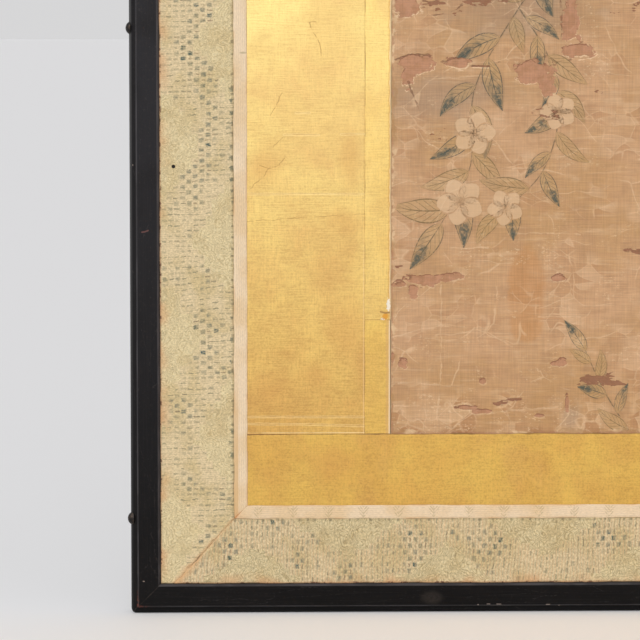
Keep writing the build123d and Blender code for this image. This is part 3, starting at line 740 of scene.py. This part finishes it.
def ink_paint():
    """The painted sprays: the silk with washes, veins and outlines over it, gone where the silk is lost."""
    p = Paint("painted silk")
    height, roughness, lost = silk_ground(p)
    silk = p.colour
    u, v, chance, kind = (p.add("Attribute", attribute_name="ink_" + name, out=2) for name in INK_FACTS)
    wide = p.size(v)
    uneven = p.noise(5)
    dry = p.patches(1.6, 0.3, 0.52)
    is_leaf, is_petal, is_stem, is_bark = (p.bar(kind, k, 0.3, 0.1) for k in (LEAF, PETAL, STEM, BARK))
    inside = p.rise(wide, 0.9, 0.84)
    outline = p.bar(wide, 0.86, 0.015, 0.07)
    rib = p.times(p.rise(wide, 0.07, 0.02), p.rise(u, 1.0, 0.8))
    vein = p.part(p.less(p.times(u, 7.0), p.times(wide, 2.2)))
    vein = p.times(p.bar(vein, 0.5, 0.02, 0.1), p.rise(wide, 0.84, 0.7))
    tip = p.times(p.rise(p.plus(u, p.sway(uneven, 1.1)), 0.3, 0.8), p.rise(wide, 0.95, 0.3), p.rise(chance, 0.3, 0.5))
    wash = p.times(inside, p.plus(0.12, (uneven, 0.4)))
    p.coat((176, 146, 92), wash, is_leaf)
    p.coat((62, 78, 74), tip, is_leaf, p.plus(0.3, (dry, 0.55)))
    lines = p.times(p.most(outline, rib, p.times(vein, 0.75)), is_leaf, p.plus(0.3, (dry, 0.5)))
    p.coat(p.mix(p.rise(chance, 0.3, 0.7), linear(104, 90, 56), linear(54, 66, 62)), lines)
    p.coat((218, 186, 148), inside, is_petal, 0.6)
    throat = p.times(p.rise(u, 0.3, 0.0), is_petal, inside)
    p.coat((190, 142, 96), throat, 0.4)
    crease = p.times(p.rise(wide, 0.05, 0.0), p.rise(u, 0.5, 0.3))
    p.coat((140, 104, 72), p.most(p.bar(wide, 0.86, 0.0, 0.05), crease), is_petal, dry, 0.5)
    p.coat((88, 82, 60), p.rise(wide, 0.9, 0.3), is_stem, p.plus(0.3, (dry, 0.45)))
    streak = p.rise(p.noise(1.0, 3.0, at=p.join(p.times(u, 26), p.times(v, 2.2), chance)), 0.42, 0.62)
    p.coat((112, 92, 72), p.rise(wide, 0.98, 0.8), is_bark, p.plus(0.2, (streak, dry, 0.4)))
    p.coat((74, 70, 58), outline, is_bark, p.rise(uneven, 0.4, 0.56), 0.7)
    p.coat(silk, lost, 0.92)
    return p.finish(height, 0.8, Roughness=roughness, Sheen_Weight=0.1, Specular_IOR_Level=0.35)


def lacquer_paint(level):
    """Black lacquer, a little brown, with brush marks, dust, rubbed edges and a fine crack at each mitre. It is
    painted lighter towards the top, with painted highlights along its edges and painted shade on the outer rounding.
    """
    p = Paint("lacquer level" if level else "lacquer upright")
    x, y, z = p.where()
    place = p.own_place()
    along, across = (x, z) if level else (z, x)
    brush = p.noise(1.0, at=p.join(p.times(along, 0.02), p.times(across, 1.5), y))
    cloud = p.noise(40, 4.0, 0.6)
    dust = p.noise(2.2)
    grit = p.noise(0.9, 1.0)
    near_foot = p.foot()
    step = p.off(near_foot, STEP) if level else p.off(x, PANEL_WIDTH - STEP)
    inside = p.off(near_foot, PANEL_WIDTH - FRAME_START - 0.6) if level else p.off(x, FRAME_START + 0.6)
    outer = near_foot if level else p.off(x, PANEL_WIDTH)
    front = p.rise(y, 9.0, 5.0)
    # Painted light: the lacquer is painted lighter towards the top and darker towards the foot, and top_light_share
    # makes the marks fainter towards the foot with it.
    top_light = p.rise(p.plus(z, p.sway(cloud, 120)), -60, 420)
    p.colour = p.mix(top_light, linear(6, 5, 5), linear(41, 40, 43))
    top_light_share = p.plus(0.3, (top_light, 0.7))
    p.coat((22, 19, 19), p.rise(cloud, 0.4, 0.65), top_light_share, 0.5)
    p.coat((46, 42, 42), p.rise(brush, 0.45, 0.75), top_light_share, 0.4)
    p.coat((74, 68, 64), p.rise(dust, 0.58, 0.76), top_light_share, 0.18)
    p.coat((104, 96, 90), p.rise(grit, 0.7, 0.8), top_light_share, 0.25)
    smudge = p.rise(p.blots(place, LACQUER_SMUDGES, p.sway(dust, 0.6)), 1.2, 0.5)
    p.coat((74, 66, 60), smudge, front, p.plus(0.1, (dust, 0.3)))
    if not level:
        beside = p.off(x, PANEL_WIDTH)
        # Painted shade on the rounded shoulder, and a painted highlight along the outer edge that is brighter towards
        # the top.
        p.coat((19, 17, 17), p.bar(beside, 3.0, 0.7, 0.8), front, 0.6)
        p.coat((86, 86, 84), p.rise(beside, 2.0, 1.0), top_light, front, 0.5)
    rubbed = p.rise(p.noise(3.0, 3.0, at=p.join(p.times(along, 0.12), p.times(across, 0.5), 3.0)), 0.44, 0.62)
    # worn here is rubbed edges and also a painted highlight along the step and the inner chamfer, stronger towards
    # the top; the same mask makes these edges rougher.
    worn = p.times(p.most(p.rise(step, 0.75, 0.1), p.rise(inside, 1.2, 0.5)), p.plus(0.6, (rubbed, 0.5)))
    worn = p.plus(worn, (p.rise(inside, 1.3, 0.6), top_light, 0.5))
    p.coat((92, 89, 91), worn, front, 0.5)
    corner = p.rise(p.plus(near_foot, (p.off(x, PANEL_WIDTH), 1.4)), 25, 9)
    red = p.most(p.rise(step, 1.1, 0.2), p.times(p.rise(outer, 1.3, 0.3), p.rise(y, 2.6, 1.0)))
    red = p.times(red, p.rise(grit, 0.5, 0.62), corner)
    p.coat((150, 72, 50), red, 0.75)
    mitre = p.off(p.less(x, FRAME_START), p.less(PANEL_WIDTH - FRAME_START, near_foot))
    mitre = p.times(p.rise(mitre, 0.6, 0.1), front)
    p.coat((84, 74, 66), mitre, p.rise(dust, 0.35, 0.55), 0.25)
    chip = p.rise(p.blots(place, LACQUER_CHIPS, p.sway(grit, 1.2)), 1.1, 0.7)
    p.coat((146, 132, 124), chip, front, 0.85)
    scrape = p.strokes(place, [[(618.5, 257.5), (620.8, 256.6), (622.6, 256.4)]])
    p.coat((128, 88, 84), p.rise(scrape, 0.7, 0.2), front, 0.6)
    scratch = p.edges(p.join(p.times(along, 0.013), p.times(across, 0.16), p.times(cloud, 0.6)))
    scratch = p.times(p.rise(scratch, 0.012, 0.002), p.rise(dust, 0.42, 0.6))
    p.coat((80, 74, 72), scratch, 0.2)
    height = p.plus((brush, 0.05), (cloud, 0.35), (dust, 0.02), (p.plus(chip, mitre, red, scratch), -0.1))
    roughness = p.plus(0.27, (cloud, 0.1), (p.plus(p.rise(dust, 0.5, 0.8), worn), 0.16))
    return p.finish(height, 0.6, Roughness=roughness, Specular_IOR_Level=0.12)


def paper_paint(name, pale, deep, fibre):
    """Handmade paper: clouds, long fibres and small specks, with painted shadow in the narrow gap beside the frame.
    """
    p = Paint(name)
    x, y, _ = p.where()
    cloud = p.noise(35, 4.0)
    bent = p.warped(p.seeded, 8, 12.0)
    hairs = p.edges(p.stretch(bent, 1 / 9, 1 / 5, 1 / 5))
    hair = p.times(p.rise(hairs, 0.05, 0.0), p.patches(7, 0.45, 0.6))
    grain = p.noise(1.0, 3.0)
    p.colour = p.mix(p.rise(cloud, 0.35, 0.65), pale, deep)
    p.coat(fibre, hair, 0.4)
    p.dim(p.plus(0.9, (grain, 0.2)))
    foot = p.foot()
    # Painted shadow: the paper is painted near black where it shows in the gap between the cloth and the frame.
    gap_shadow = p.most(p.rise(x, CLOTH_END - 0.8, CLOTH_END), p.rise(foot, CLOTH_FOOT + 0.8, CLOTH_FOOT))
    p.coat((24, 17, 13), gap_shadow, p.rise(y, 10, 5), 0.95)
    height = p.plus((grain, 0.06), (hair, 0.05), (cloud, 0.3))
    return p.finish(height, 0.8, Roughness=0.75, Specular_IOR_Level=0.3)


def back_paint():
    """Blue-grey patterned back paper: staggered four-petal marks printed in mica, with worn edges."""
    p = Paint("back paper")
    x, _, z = p.where()
    row = p.times(z, 1 / 31)
    ir = p.whole(row)
    column = p.plus((x, 1 / 54), (p.math("FLOORED_MODULO", ir, 2.0), 0.5))
    fx = p.sway(p.part(column), 54)
    fz = p.sway(p.part(row), 31)
    angle = p.math("ARCTAN2", fz, fx)
    away = p.apart(p.join(fx, fz), 1.0, 1.0, 1.0)
    petal = p.plus(5.6, (p.wave(p.times(p.plus(angle, math.pi / 8), 4 / (2 * math.pi))), 2.6))
    flower = p.times(p.rise(p.less(away, petal), 0.5, -0.5), p.rise(away, 1.2, 2.0))
    outline = p.rise(p.off(away, p.plus(petal, 1.6)), 0.75, 0.15)
    lozenge = p.off(p.plus((p.size(fx), 1 / 27), (p.size(fz), 1 / 15.5)), 1.0)
    trellis = p.rise(lozenge, 0.06, 0.015)
    worn = p.patches(12, 0.36, 0.6, 4.0)
    mica = p.times(p.most(flower, outline, p.times(trellis, 0.8)), worn)
    cloud = p.noise(50, 4.0)
    grain = p.noise(1.1, 3.0)
    p.colour = p.mix(p.rise(cloud, 0.35, 0.65), linear(92, 103, 98), linear(108, 114, 100))
    p.coat((176, 172, 146), mica, 0.5)
    seam = p.rise(p.off(z, PANEL_HEIGHT / 3, PANEL_HEIGHT * 2 / 3), 1.6, 0.4)
    p.coat((150, 144, 120), seam, 0.5)
    p.dim(p.plus(0.88, (grain, 0.24)))
    stain = p.patches(80, 0.56, 0.66, 4.0)
    p.coat((122, 100, 70), stain, 0.35)
    height = p.plus((grain, 0.05), (mica, 0.04), (cloud, 0.6))
    return p.finish(height, 0.8, Roughness=p.blend(mica, 0.75, 0.5), Specular_IOR_Level=0.3)


def cedar_paint():
    p = Paint("cedar")
    x = p.where()[0]
    bent = p.plus((x, 0.35), (p.noise(1.0, at=p.stretch(p.seeded, 0.05, 0.05, 0.01)), 9))
    ring = p.wave(bent)
    grain = p.noise(1.0, 3.0, at=p.stretch(p.seeded, 1.2, 1.2, 0.06))
    p.colour = p.mix(p.rise(ring, -0.4, 0.9), linear(204, 168, 120), linear(170, 124, 78))
    p.dim(p.plus(0.85, (grain, 0.3)))
    return p.finish(p.plus((grain, 0.12), (ring, 0.03)), 0.8, Roughness=0.7)


def iron_paint(name, dark, brown):
    """Old forged iron: dark, with brown where it is rubbed, and a hammered surface."""
    p = Paint(name)
    p.where()
    cloud = p.noise(3.0, 3.0)
    pits = p.noise(0.8)
    p.colour = p.mix(p.rise(cloud, 0.42, 0.66), dark, brown)
    return p.finish(p.plus((cloud, 0.2), (pits, 0.05)), 0.8, Metallic=0.7, Roughness=p.plus(0.3, (pits, 0.3)))


materials = {
    "lacquer": [lacquer_paint(level) for level in (False, True)],
    "brocade": [brocade_paint(turned) for turned in (False, True)],
    "ribbon": [ribbon_paint(turned) for turned in (False, True)],
    **{"gold_" + kind: gold_paint(kind) for kind in ("sides", "strips", "bands")},
    "silk": silk_paint(),
    "cedar": cedar_paint(),
    "underpaper": paper_paint("underpaper", linear(214, 196, 158), linear(202, 180, 138), linear(236, 222, 190)),
    "hinge_paper": paper_paint("hinge paper", linear(196, 158, 100), linear(176, 136, 80), linear(220, 190, 136)),
    "back_paper": back_paint(),
    "tack_iron": iron_paint("tack iron", linear(34, 31, 30), linear(66, 55, 46)),
    "nail_steel": iron_paint("nail iron", linear(70, 64, 60), linear(96, 70, 50)),
}
for row in frame["record"]["subparts"]:
    name = row["node"]
    material = materials.get(row["material_slot"]) or materials[name.split("_", 1)[1]]
    if isinstance(material, list):  # for upright pieces and for level ones
        material = material["side" not in name and "stile" not in name]
    nodes[name].data.materials.clear()
    nodes[name].data.materials.append(material)

# Pieces: the pasted sheets and cloths, each in the place of its CAD solid

RIM_ROLLED = 1.3
RIM_RAGGED = 3
SEAM_CALM = 3
LEAST_THICKNESS = 0.05
BODIES = {-1: "left_panel", 1: "right_panel"}
NODE = {-1: "left_", 1: "right_"}


def hills(x, z, size, seed):
    """Smooth random hills, -1 to 1, about size millimetres across."""
    table = np.random.default_rng(seed).uniform(-1, 1, (64, 64))
    u = np.asarray(x, float) / size
    v = np.asarray(z, float) / size
    i = np.floor(u).astype(int)
    j = np.floor(v).astype(int)
    a = (u - i) ** 2 * (3 - 2 * (u - i))
    b = (v - j) ** 2 * (3 - 2 * (v - j))
    low = table[i % 64, j % 64] * (1 - a) + table[(i + 1) % 64, j % 64] * a
    high = table[i % 64, (j + 1) % 64] * (1 - a) + table[(i + 1) % 64, (j + 1) % 64] * a
    return low * (1 - b) + high * b


def silk_rise(x, z, side):
    return (0.22 * hills(x, z, 75, 11 + side) + 0.12 * hills(x, z, 27, 21 + side) + 0.04 * hills(x, z, 10, 31 + side)
            - 0.1)


def gold_rise(x, z, side):
    return 0.16 * hills(x, z, 60, 41 + side) + 0.08 * hills(x, z * 2, 24, 51 + side)


def ribbon_rise(x, z, side):
    return 0.07 * hills(x, z, 14, 61 + side) + 0.05 * hills(x, z, 5, 62 + side)


def from_seam(x, z):
    """Distance to the line of the brocade's mitred seam, at the foot or at the top."""
    run = np.array(SEAM[1]) - np.array(SEAM[0])
    foot = np.minimum(z, top_of(z))
    return np.abs((x - SEAM[0][0]) * run[1] - (foot - SEAM[0][1]) * run[0]) / np.hypot(*run)


def brocade_rise(x, z, side):
    swell = 0.1 * hills(x, z, 17, 71 + side) + 0.08 * hills(x, z, 40, 72 + side) + 0.05 * hills(x, z, 6, 73 + side)
    foot = np.minimum(z, top_of(z))
    lap = 0.22 * np.exp(-((from_seam(x, z) - 0.9) / 1.3) ** 2)
    flap = 0.55 * np.exp(-((x - 583) / 5) ** 2 - ((foot - 40) / 4) ** 2)
    return swell + lap + flap


def along(length, step):
    """Shares of a length: close together at both ends, where the edge rounds off, and step apart between."""
    rim = np.array([0.0, 0.35, 0.9])
    between = np.linspace(1.8, length - 1.8, max(2, round((length - 3.6) / step) + 1))
    return np.concatenate([rim, between, length - rim[::-1]]) / length


def squares(*corners):
    """Four-sided faces from the arrays of their first, second, third and fourth corners."""
    return np.stack(corners, -1).reshape(-1, 4).tolist()


def pasted(name, quads, slot, face, rise, step, roll, ragged, cloth=None):
    """Thin sheets pasted on the panels, one object a panel. quads are (inner foot, outer foot, outer top, inner top).
    Their edges roll back by roll and stray by ragged. cloth, the flat size and the area of the sheet, is not used."""
    for side in (-1, 1):
        points, faces = [], []
        for number, quad in enumerate(quads):
            c = np.array(quad, float)
            wide = np.linalg.norm(c[1] - c[0]) if len(c) == 4 else c[2, 0] - c[0, 0]
            high = c[:, 1].max() - c[:, 1].min() if len(c) == 4 else top_of(2 * c[0, 1])
            a, b = np.meshgrid(along(wide, step), along(high, step))
            if len(c) == 4:
                spot = (c[0] * ((1 - a) * (1 - b))[..., None] + c[1] * (a * (1 - b))[..., None]
                        + c[2] * (a * b)[..., None] + c[3] * ((1 - a) * b)[..., None])
                x, z = spot[..., 0], spot[..., 1]
            else:  # the upright brocade, given by its foot, which follows the seam and then the rail
                x = c[0, 0] + a * wide
                foot = np.interp(x, c[:, 0], c[:, 1])
                z = foot + b * (top_of(foot) - foot)
            rim = np.minimum(np.minimum(a, 1 - a) * wide, np.minimum(b, 1 - b) * high)
            if slot == "brocade":
                x, z = x + 0.5 * hills(x, z, 11, 83), z + 0.5 * hills(x, z, 11, 84)
                x, z = np.clip(x, GOLD_START, CLOTH_END), np.clip(z, CLOTH_FOOT, top_of(CLOTH_FOOT))
            near = np.clip(1 - rim / RIM_RAGGED, 0, 1) * ragged
            x = x + near * hills(z, x, 7, 81 + number + side) * (np.minimum(a, 1 - a) * wide < RIM_RAGGED)
            z = z + near * hills(x, z, 7, 91 + number + side) * (np.minimum(b, 1 - b) * high < RIM_RAGGED)
            drop = roll * np.clip(1 - rim / RIM_ROLLED, 0, 1) ** 2
            if slot == "brocade":
                drop = drop * (1 - 0.7 * np.exp(-(from_seam(x, z) / SEAM_CALM) ** 2))
            y = face + drop - rise(x, z, side) * np.clip(rim / 2, 0.15, 1)
            y = np.minimum(y, GLUE_FACE - LEAST_THICKNESS)
            rows, columns = x.shape
            first = sum(len(part) for part in points)
            index = np.arange(rows * columns).reshape(rows, columns) + first
            points.append(np.stack([x, y, z], -1).reshape(-1, 3))
            faces += squares(index[:-1, :-1], index[:-1, 1:], index[1:, 1:], index[1:, :-1])
            ring = np.concatenate([index[0, :-1], index[:-1, -1], index[-1, :0:-1], index[:0:-1, 0]]) - first
            border = points[-1][ring].copy()
            border[:, 1] = GLUE_FACE
            skirt = np.arange(len(ring)) + first + rows * columns
            points.append(border)
            ring = ring + first
            faces += squares(ring, skirt, np.roll(skirt, -1), np.roll(ring, -1))
            faces.append(skirt[::-1].tolist())
        node = NODE[side] + name
        mesh = bpy.data.meshes.new(node)
        mesh.from_pydata(place(side, np.concatenate(points)).tolist(), [], faces)
        made = bmesh.new()
        made.from_mesh(mesh)
        bmesh.ops.recalc_face_normals(made, faces=made.faces)
        made.to_mesh(mesh)
        made.free()
        mesh.polygons.foreach_set("use_smooth", [len(face) == 4 for face in faces])
        piece = bpy.data.objects.new(node + "_dressed", mesh)
        bpy.context.collection.objects.link(piece)
        mesh.materials.append(nodes[node].data.materials[0])
        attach(piece, BODIES[side])
        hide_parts(node)


def box_of(x0, x1, z0, z1):
    return [(x0, z0), (x1, z0), (x1, z1), (x0, z1)]


def twin(quad):
    """The quad at the top that mirrors one at the foot."""
    return [(x, top_of(z)) for x, z in reversed(quad)]


GOLD = GOLD_FACE, gold_rise, 3.0
RIBBON = "ribbon", RIBBON_FACE, ribbon_rise, 1.6, 0.3, 0.25
BROCADE = "brocade", BROCADE_FACE, brocade_rise, 2.0, 0.55, 0.15
LEVEL_RIBBON = [(GOLD_START, RIBBON_FOOT), (BROCADE_START, RIBBON_FOOT), (RIBBON_START, GOLD_FOOT),
                (GOLD_START, GOLD_FOOT)]
LEVEL_BROCADE = [(GOLD_START, CLOTH_FOOT), (SEAM_FOOT, CLOTH_FOOT), (BROCADE_START, RIBBON_FOOT),
                 (GOLD_START, RIBBON_FOOT)]
LEVEL_RIBBON_CLOTH = (0.010, 0.561), 0.005
LEVEL_BROCADE_CLOTH = (0.0437, 0.6011), 0.0254

pasted("gold_sides", [box_of(GOLD_START, STRIP_START, PICTURE_FOOT, PICTURE_TOP),
                      box_of(STRIP_END, RIBBON_START, PICTURE_FOOT, PICTURE_TOP)], "gold", *GOLD, 0.05, 0.12)
pasted("gold_strips", [box_of(STRIP_START, PICTURE_START, PICTURE_FOOT, PICTURE_TOP),
                       box_of(PICTURE_END, STRIP_END, PICTURE_FOOT, PICTURE_TOP)],
       "gold_strip", STRIP_FACE, gold_rise, 3.0, 0.06, 0.35)
pasted("gold_bands", [box_of(GOLD_START, RIBBON_START, GOLD_FOOT, PICTURE_FOOT),
                      box_of(GOLD_START, RIBBON_START, PICTURE_TOP, top_of(GOLD_FOOT))], "gold", *GOLD, 0.12, 0.3)
pasted("picture", [box_of(PICTURE_START, PICTURE_END, PICTURE_FOOT, PICTURE_TOP)],
       "silk", SILK_FACE, silk_rise, 2.8, 0.25, 0.5, cloth=((0.360, 0.870), None))
pasted("ribbon_side", [[(RIBBON_START, GOLD_FOOT), (BROCADE_START, RIBBON_FOOT),
                        (BROCADE_START, top_of(RIBBON_FOOT)), (RIBBON_START, top_of(GOLD_FOOT))]],
       *RIBBON, cloth=((0.010, 0.984), 0.0087))
pasted("ribbon_bottom", [LEVEL_RIBBON], *RIBBON, cloth=LEVEL_RIBBON_CLOTH)
pasted("ribbon_top", [twin(LEVEL_RIBBON)], *RIBBON, cloth=LEVEL_RIBBON_CLOTH)
pasted("brocade_side", [[(BROCADE_START, RIBBON_FOOT), (SEAM_FOOT, CLOTH_FOOT), (CLOTH_END, CLOTH_FOOT)]],
       *BROCADE, cloth=((0.0492, 1.0714), 0.051))
pasted("brocade_bottom", [LEVEL_BROCADE], *BROCADE, cloth=LEVEL_BROCADE_CLOTH)
pasted("brocade_top", [twin(LEVEL_BROCADE)], *BROCADE, cloth=LEVEL_BROCADE_CLOTH)


# The painted sprays

def smooth_path(points, count):
    """Points along a smooth line through the given ones."""
    p = np.array([points[0], *points, points[-1]], float)
    line = []
    for t in np.linspace(0, len(points) - 1.0001, count):
        k = int(t)
        f = t - k
        a, b, c, d = p[k:k + 4]
        line.append(0.5 * (2 * b + (c - a) * f + (2 * a - 5 * b + 4 * c - d) * f ** 2
                           + (3 * b - a - 3 * c + d) * f ** 3))
    return np.array(line)


class Painting:
    """Collects flat painted shapes as grids whose points know how far along (u) and across (v) they are."""

    def __init__(self):
        self.points, self.faces, self.facts = [], [], []

    def band(self, line, half, kind, chance):
        """A shape along a line, with that half width at each of its points."""
        line = np.asarray(line, float)
        run = np.gradient(line, axis=0)
        normal = np.stack([-run[:, 1], run[:, 0]], 1) / np.maximum(np.hypot(*run.T), 1e-9)[:, None]
        across = np.linspace(-1, 1, 3 if kind == STEM else 7)
        first = len(self.points)
        for k, (spot, side, wide) in enumerate(zip(line, normal, half)):
            for v in across:
                self.points.append(spot + side * v * wide)
                self.facts.append((k / (len(line) - 1), v, chance, kind))
        index = np.arange(len(line) * len(across)).reshape(len(line), -1) + first
        self.faces += squares(index[:-1, :-1], index[1:, :-1], index[1:, 1:], index[:-1, 1:])

    def leaf(self, root, angle, length, width, curl, chance):
        t = np.linspace(0, 1, 13)
        heading = angle + curl * (t - 0.3)
        steps = np.stack([np.cos(heading), np.sin(heading)], 1) * length / 12
        line = np.array(root) + np.cumsum(steps, 0) - steps[0]
        half = width / 2 * np.sin(math.pi * t ** 0.8) ** 0.9 * (1 - 0.25 * t) + 0.25
        self.band(line, half, LEAF, chance)

    def blossom(self, centre, size, turn, chance):
        for k in range(5):
            angle = turn + k * 2 * math.pi / 5
            t = np.linspace(0, 1, 9)
            line = np.array(centre) + np.outer(t * size, [math.cos(angle), math.sin(angle)])
            half = size * 0.47 * np.sin(math.pi * np.clip(t, 0.02, 0.98) ** 1.1) ** 0.6 + 0.15
            self.band(line, half, PETAL, chance)

    def spray(self, points, leaves, size, rng, blossoms=()):
        """A stem with leaves on both sides, and blossoms at some shares of its length."""
        line = smooth_path(points, 60)
        self.band(line, np.linspace(0.9, 0.35, 60), STEM, 0.5)
        run = np.gradient(line, axis=0)
        for k, share in enumerate(np.linspace(0.08, 1.0, leaves)):
            at = min(59, int(share * 59))
            heading = math.atan2(run[at, 1], run[at, 0])
            turn = (1 if k % 2 else -1) * rng.uniform(0.45, 1.0) if share < 0.97 else rng.uniform(-0.2, 0.2)
            length = size * rng.uniform(0.75, 1.2)
            self.leaf(line[at], heading + turn, length, length * rng.uniform(0.38, 0.56), rng.uniform(-0.8, 0.8),
                      rng.uniform(0, 1))
        for share in blossoms:
            at = min(59, int(share * 59))
            beside = np.array([-run[at, 1], run[at, 0]]) / np.hypot(*run[at]) * rng.uniform(-1, 1) * size * 0.3
            self.blossom(line[at] + beside, size * rng.uniform(0.36, 0.48), rng.uniform(0, 6), rng.uniform(0, 1))


def paint_picture(side, sprays, branches, seed):
    rng = np.random.default_rng(seed)
    painting = Painting()
    for points, thick, thin in branches:
        line = smooth_path(points, 120)
        knots = 1 + 0.16 * hills(np.linspace(0, 24, 120), np.zeros(120), 1.0, seed)
        painting.band(line, np.linspace(thick, thin, 120) * knots, BARK, 0.0)
    for points, leaves, size, blossoms in sprays:
        painting.spray(points, leaves, size, rng, blossoms)
    flat = np.array(painting.points)
    inside = ((flat[:, 0] > PICTURE_START + 1.5) & (flat[:, 0] < PICTURE_END - 1.5)
              & (flat[:, 1] > PICTURE_FOOT + 1.5) & (flat[:, 1] < PICTURE_TOP - 1.5))
    faces = [face for face in painting.faces if all(inside[i] for i in face)]
    kinds = np.array([fact[3] for fact in painting.facts])
    order = np.array([fact[2] for fact in painting.facts])
    lift = 0.1 + 0.03 * (kinds == LEAF) + 0.06 * (kinds == PETAL) - 0.04 * (kinds == BARK) + 0.02 * order
    y = SILK_FACE - silk_rise(flat[:, 0], flat[:, 1], side) - lift
    mesh = bpy.data.meshes.new(NODE[side] + "sprays")
    mesh.from_pydata(place(side, np.stack([flat[:, 0], y, flat[:, 1]], 1)).tolist(), [],
                     faces if side > 0 else [f[::-1] for f in faces])
    for column, name in enumerate(INK_FACTS):
        values = np.array([fact[column] for fact in painting.facts], np.float32)
        mesh.attributes.new("ink_" + name, "FLOAT", "POINT").data.foreach_set("value", values)
    loose = bmesh.new()
    loose.from_mesh(mesh)
    bmesh.ops.delete(loose, geom=[v for v in loose.verts if not v.link_faces], context="VERTS")
    loose.to_mesh(mesh)
    loose.free()
    mesh.materials.append(ink)
    piece = bpy.data.objects.new(NODE[side] + "sprays", mesh)
    bpy.context.collection.objects.link(piece)
    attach(piece, BODIES[side])


ink = ink_paint()
paint_picture(-1, [
    ([(300, 520), (338, 452), (372, 405), (401, 352), (404, 300), (423, 262)], 17, 33, (0.35, 0.72, 0.9)),
    ([(372, 405), (352, 372), (345, 335), (356, 296), (384, 268)], 12, 29, (0.5, 0.96)),
    ([(250, 560), (300, 520), (352, 515), (410, 530), (440, 570)], 9, 28, (0.6,)),
    ([(296, 121), (314, 150), (326, 176)], 6, 22, ()),
    ([(215, 150), (226, 300), (210, 450), (250, 560), (240, 700), (262, 820)], 24, 34, (0.3, 0.62, 0.8)),
    ([(226, 300), (190, 360), (160, 430), (150, 480)], 11, 30, (0.5, 0.95)),
    ([(240, 700), (290, 740), (345, 750), (392, 790)], 12, 30, (0.4, 0.8)),
    ([(262, 820), (230, 880), (180, 920), (130, 915)], 11, 30, (0.6,)),
    ([(262, 820), (300, 880), (352, 905), (402, 890)], 11, 28, (0.7,)),
    ([(188, 610), (150, 640), (128, 700), (134, 760)], 10, 30, (0.5, 0.95)),
    ([(268, 640), (310, 650), (360, 640), (408, 668)], 11, 30, (0.35, 0.8)),
], [
    ([(176, 121), (206, 220), (196, 330), (232, 430), (226, 520), (188, 610), (214, 700), (262, 790), (290, 860)],
     7.5, 2.2),
    ([(226, 520), (262, 580), (268, 640), (246, 700)], 4.2, 1.6),
    ([(206, 220), (170, 290), (140, 350), (132, 420)], 3.8, 1.2),
], 5)
paint_picture(1, [
    ([(180, 121), (200, 230), (184, 340), (222, 450), (214, 580), (250, 700)], 24, 34, (0.25, 0.6, 0.9)),
    ([(184, 340), (240, 390), (296, 410), (350, 460)], 12, 30, (0.5, 0.9)),
    ([(222, 450), (170, 500), (140, 570), (128, 640)], 12, 28, (0.45, 0.85)),
    ([(250, 700), (300, 770), (310, 850), (352, 910)], 13, 32, (0.4, 0.75)),
    ([(250, 700), (210, 780), (160, 830), (130, 900)], 12, 30, (0.55,)),
    ([(330, 121), (350, 180), (392, 220), (410, 280)], 10, 26, (0.7,)),
    ([(246, 560), (300, 590), (350, 640), (398, 652)], 12, 30, (0.4, 0.85)),
], [
    ([(240, 121), (216, 210), (236, 320), (206, 420), (246, 560), (236, 660), (272, 760), (250, 850)], 7.5, 2.2),
    ([(236, 320), (290, 370), (330, 450), (346, 520)], 4.0, 1.3),
    ([(236, 660), (190, 720), (168, 790)], 3.4, 1.3),
], 8)
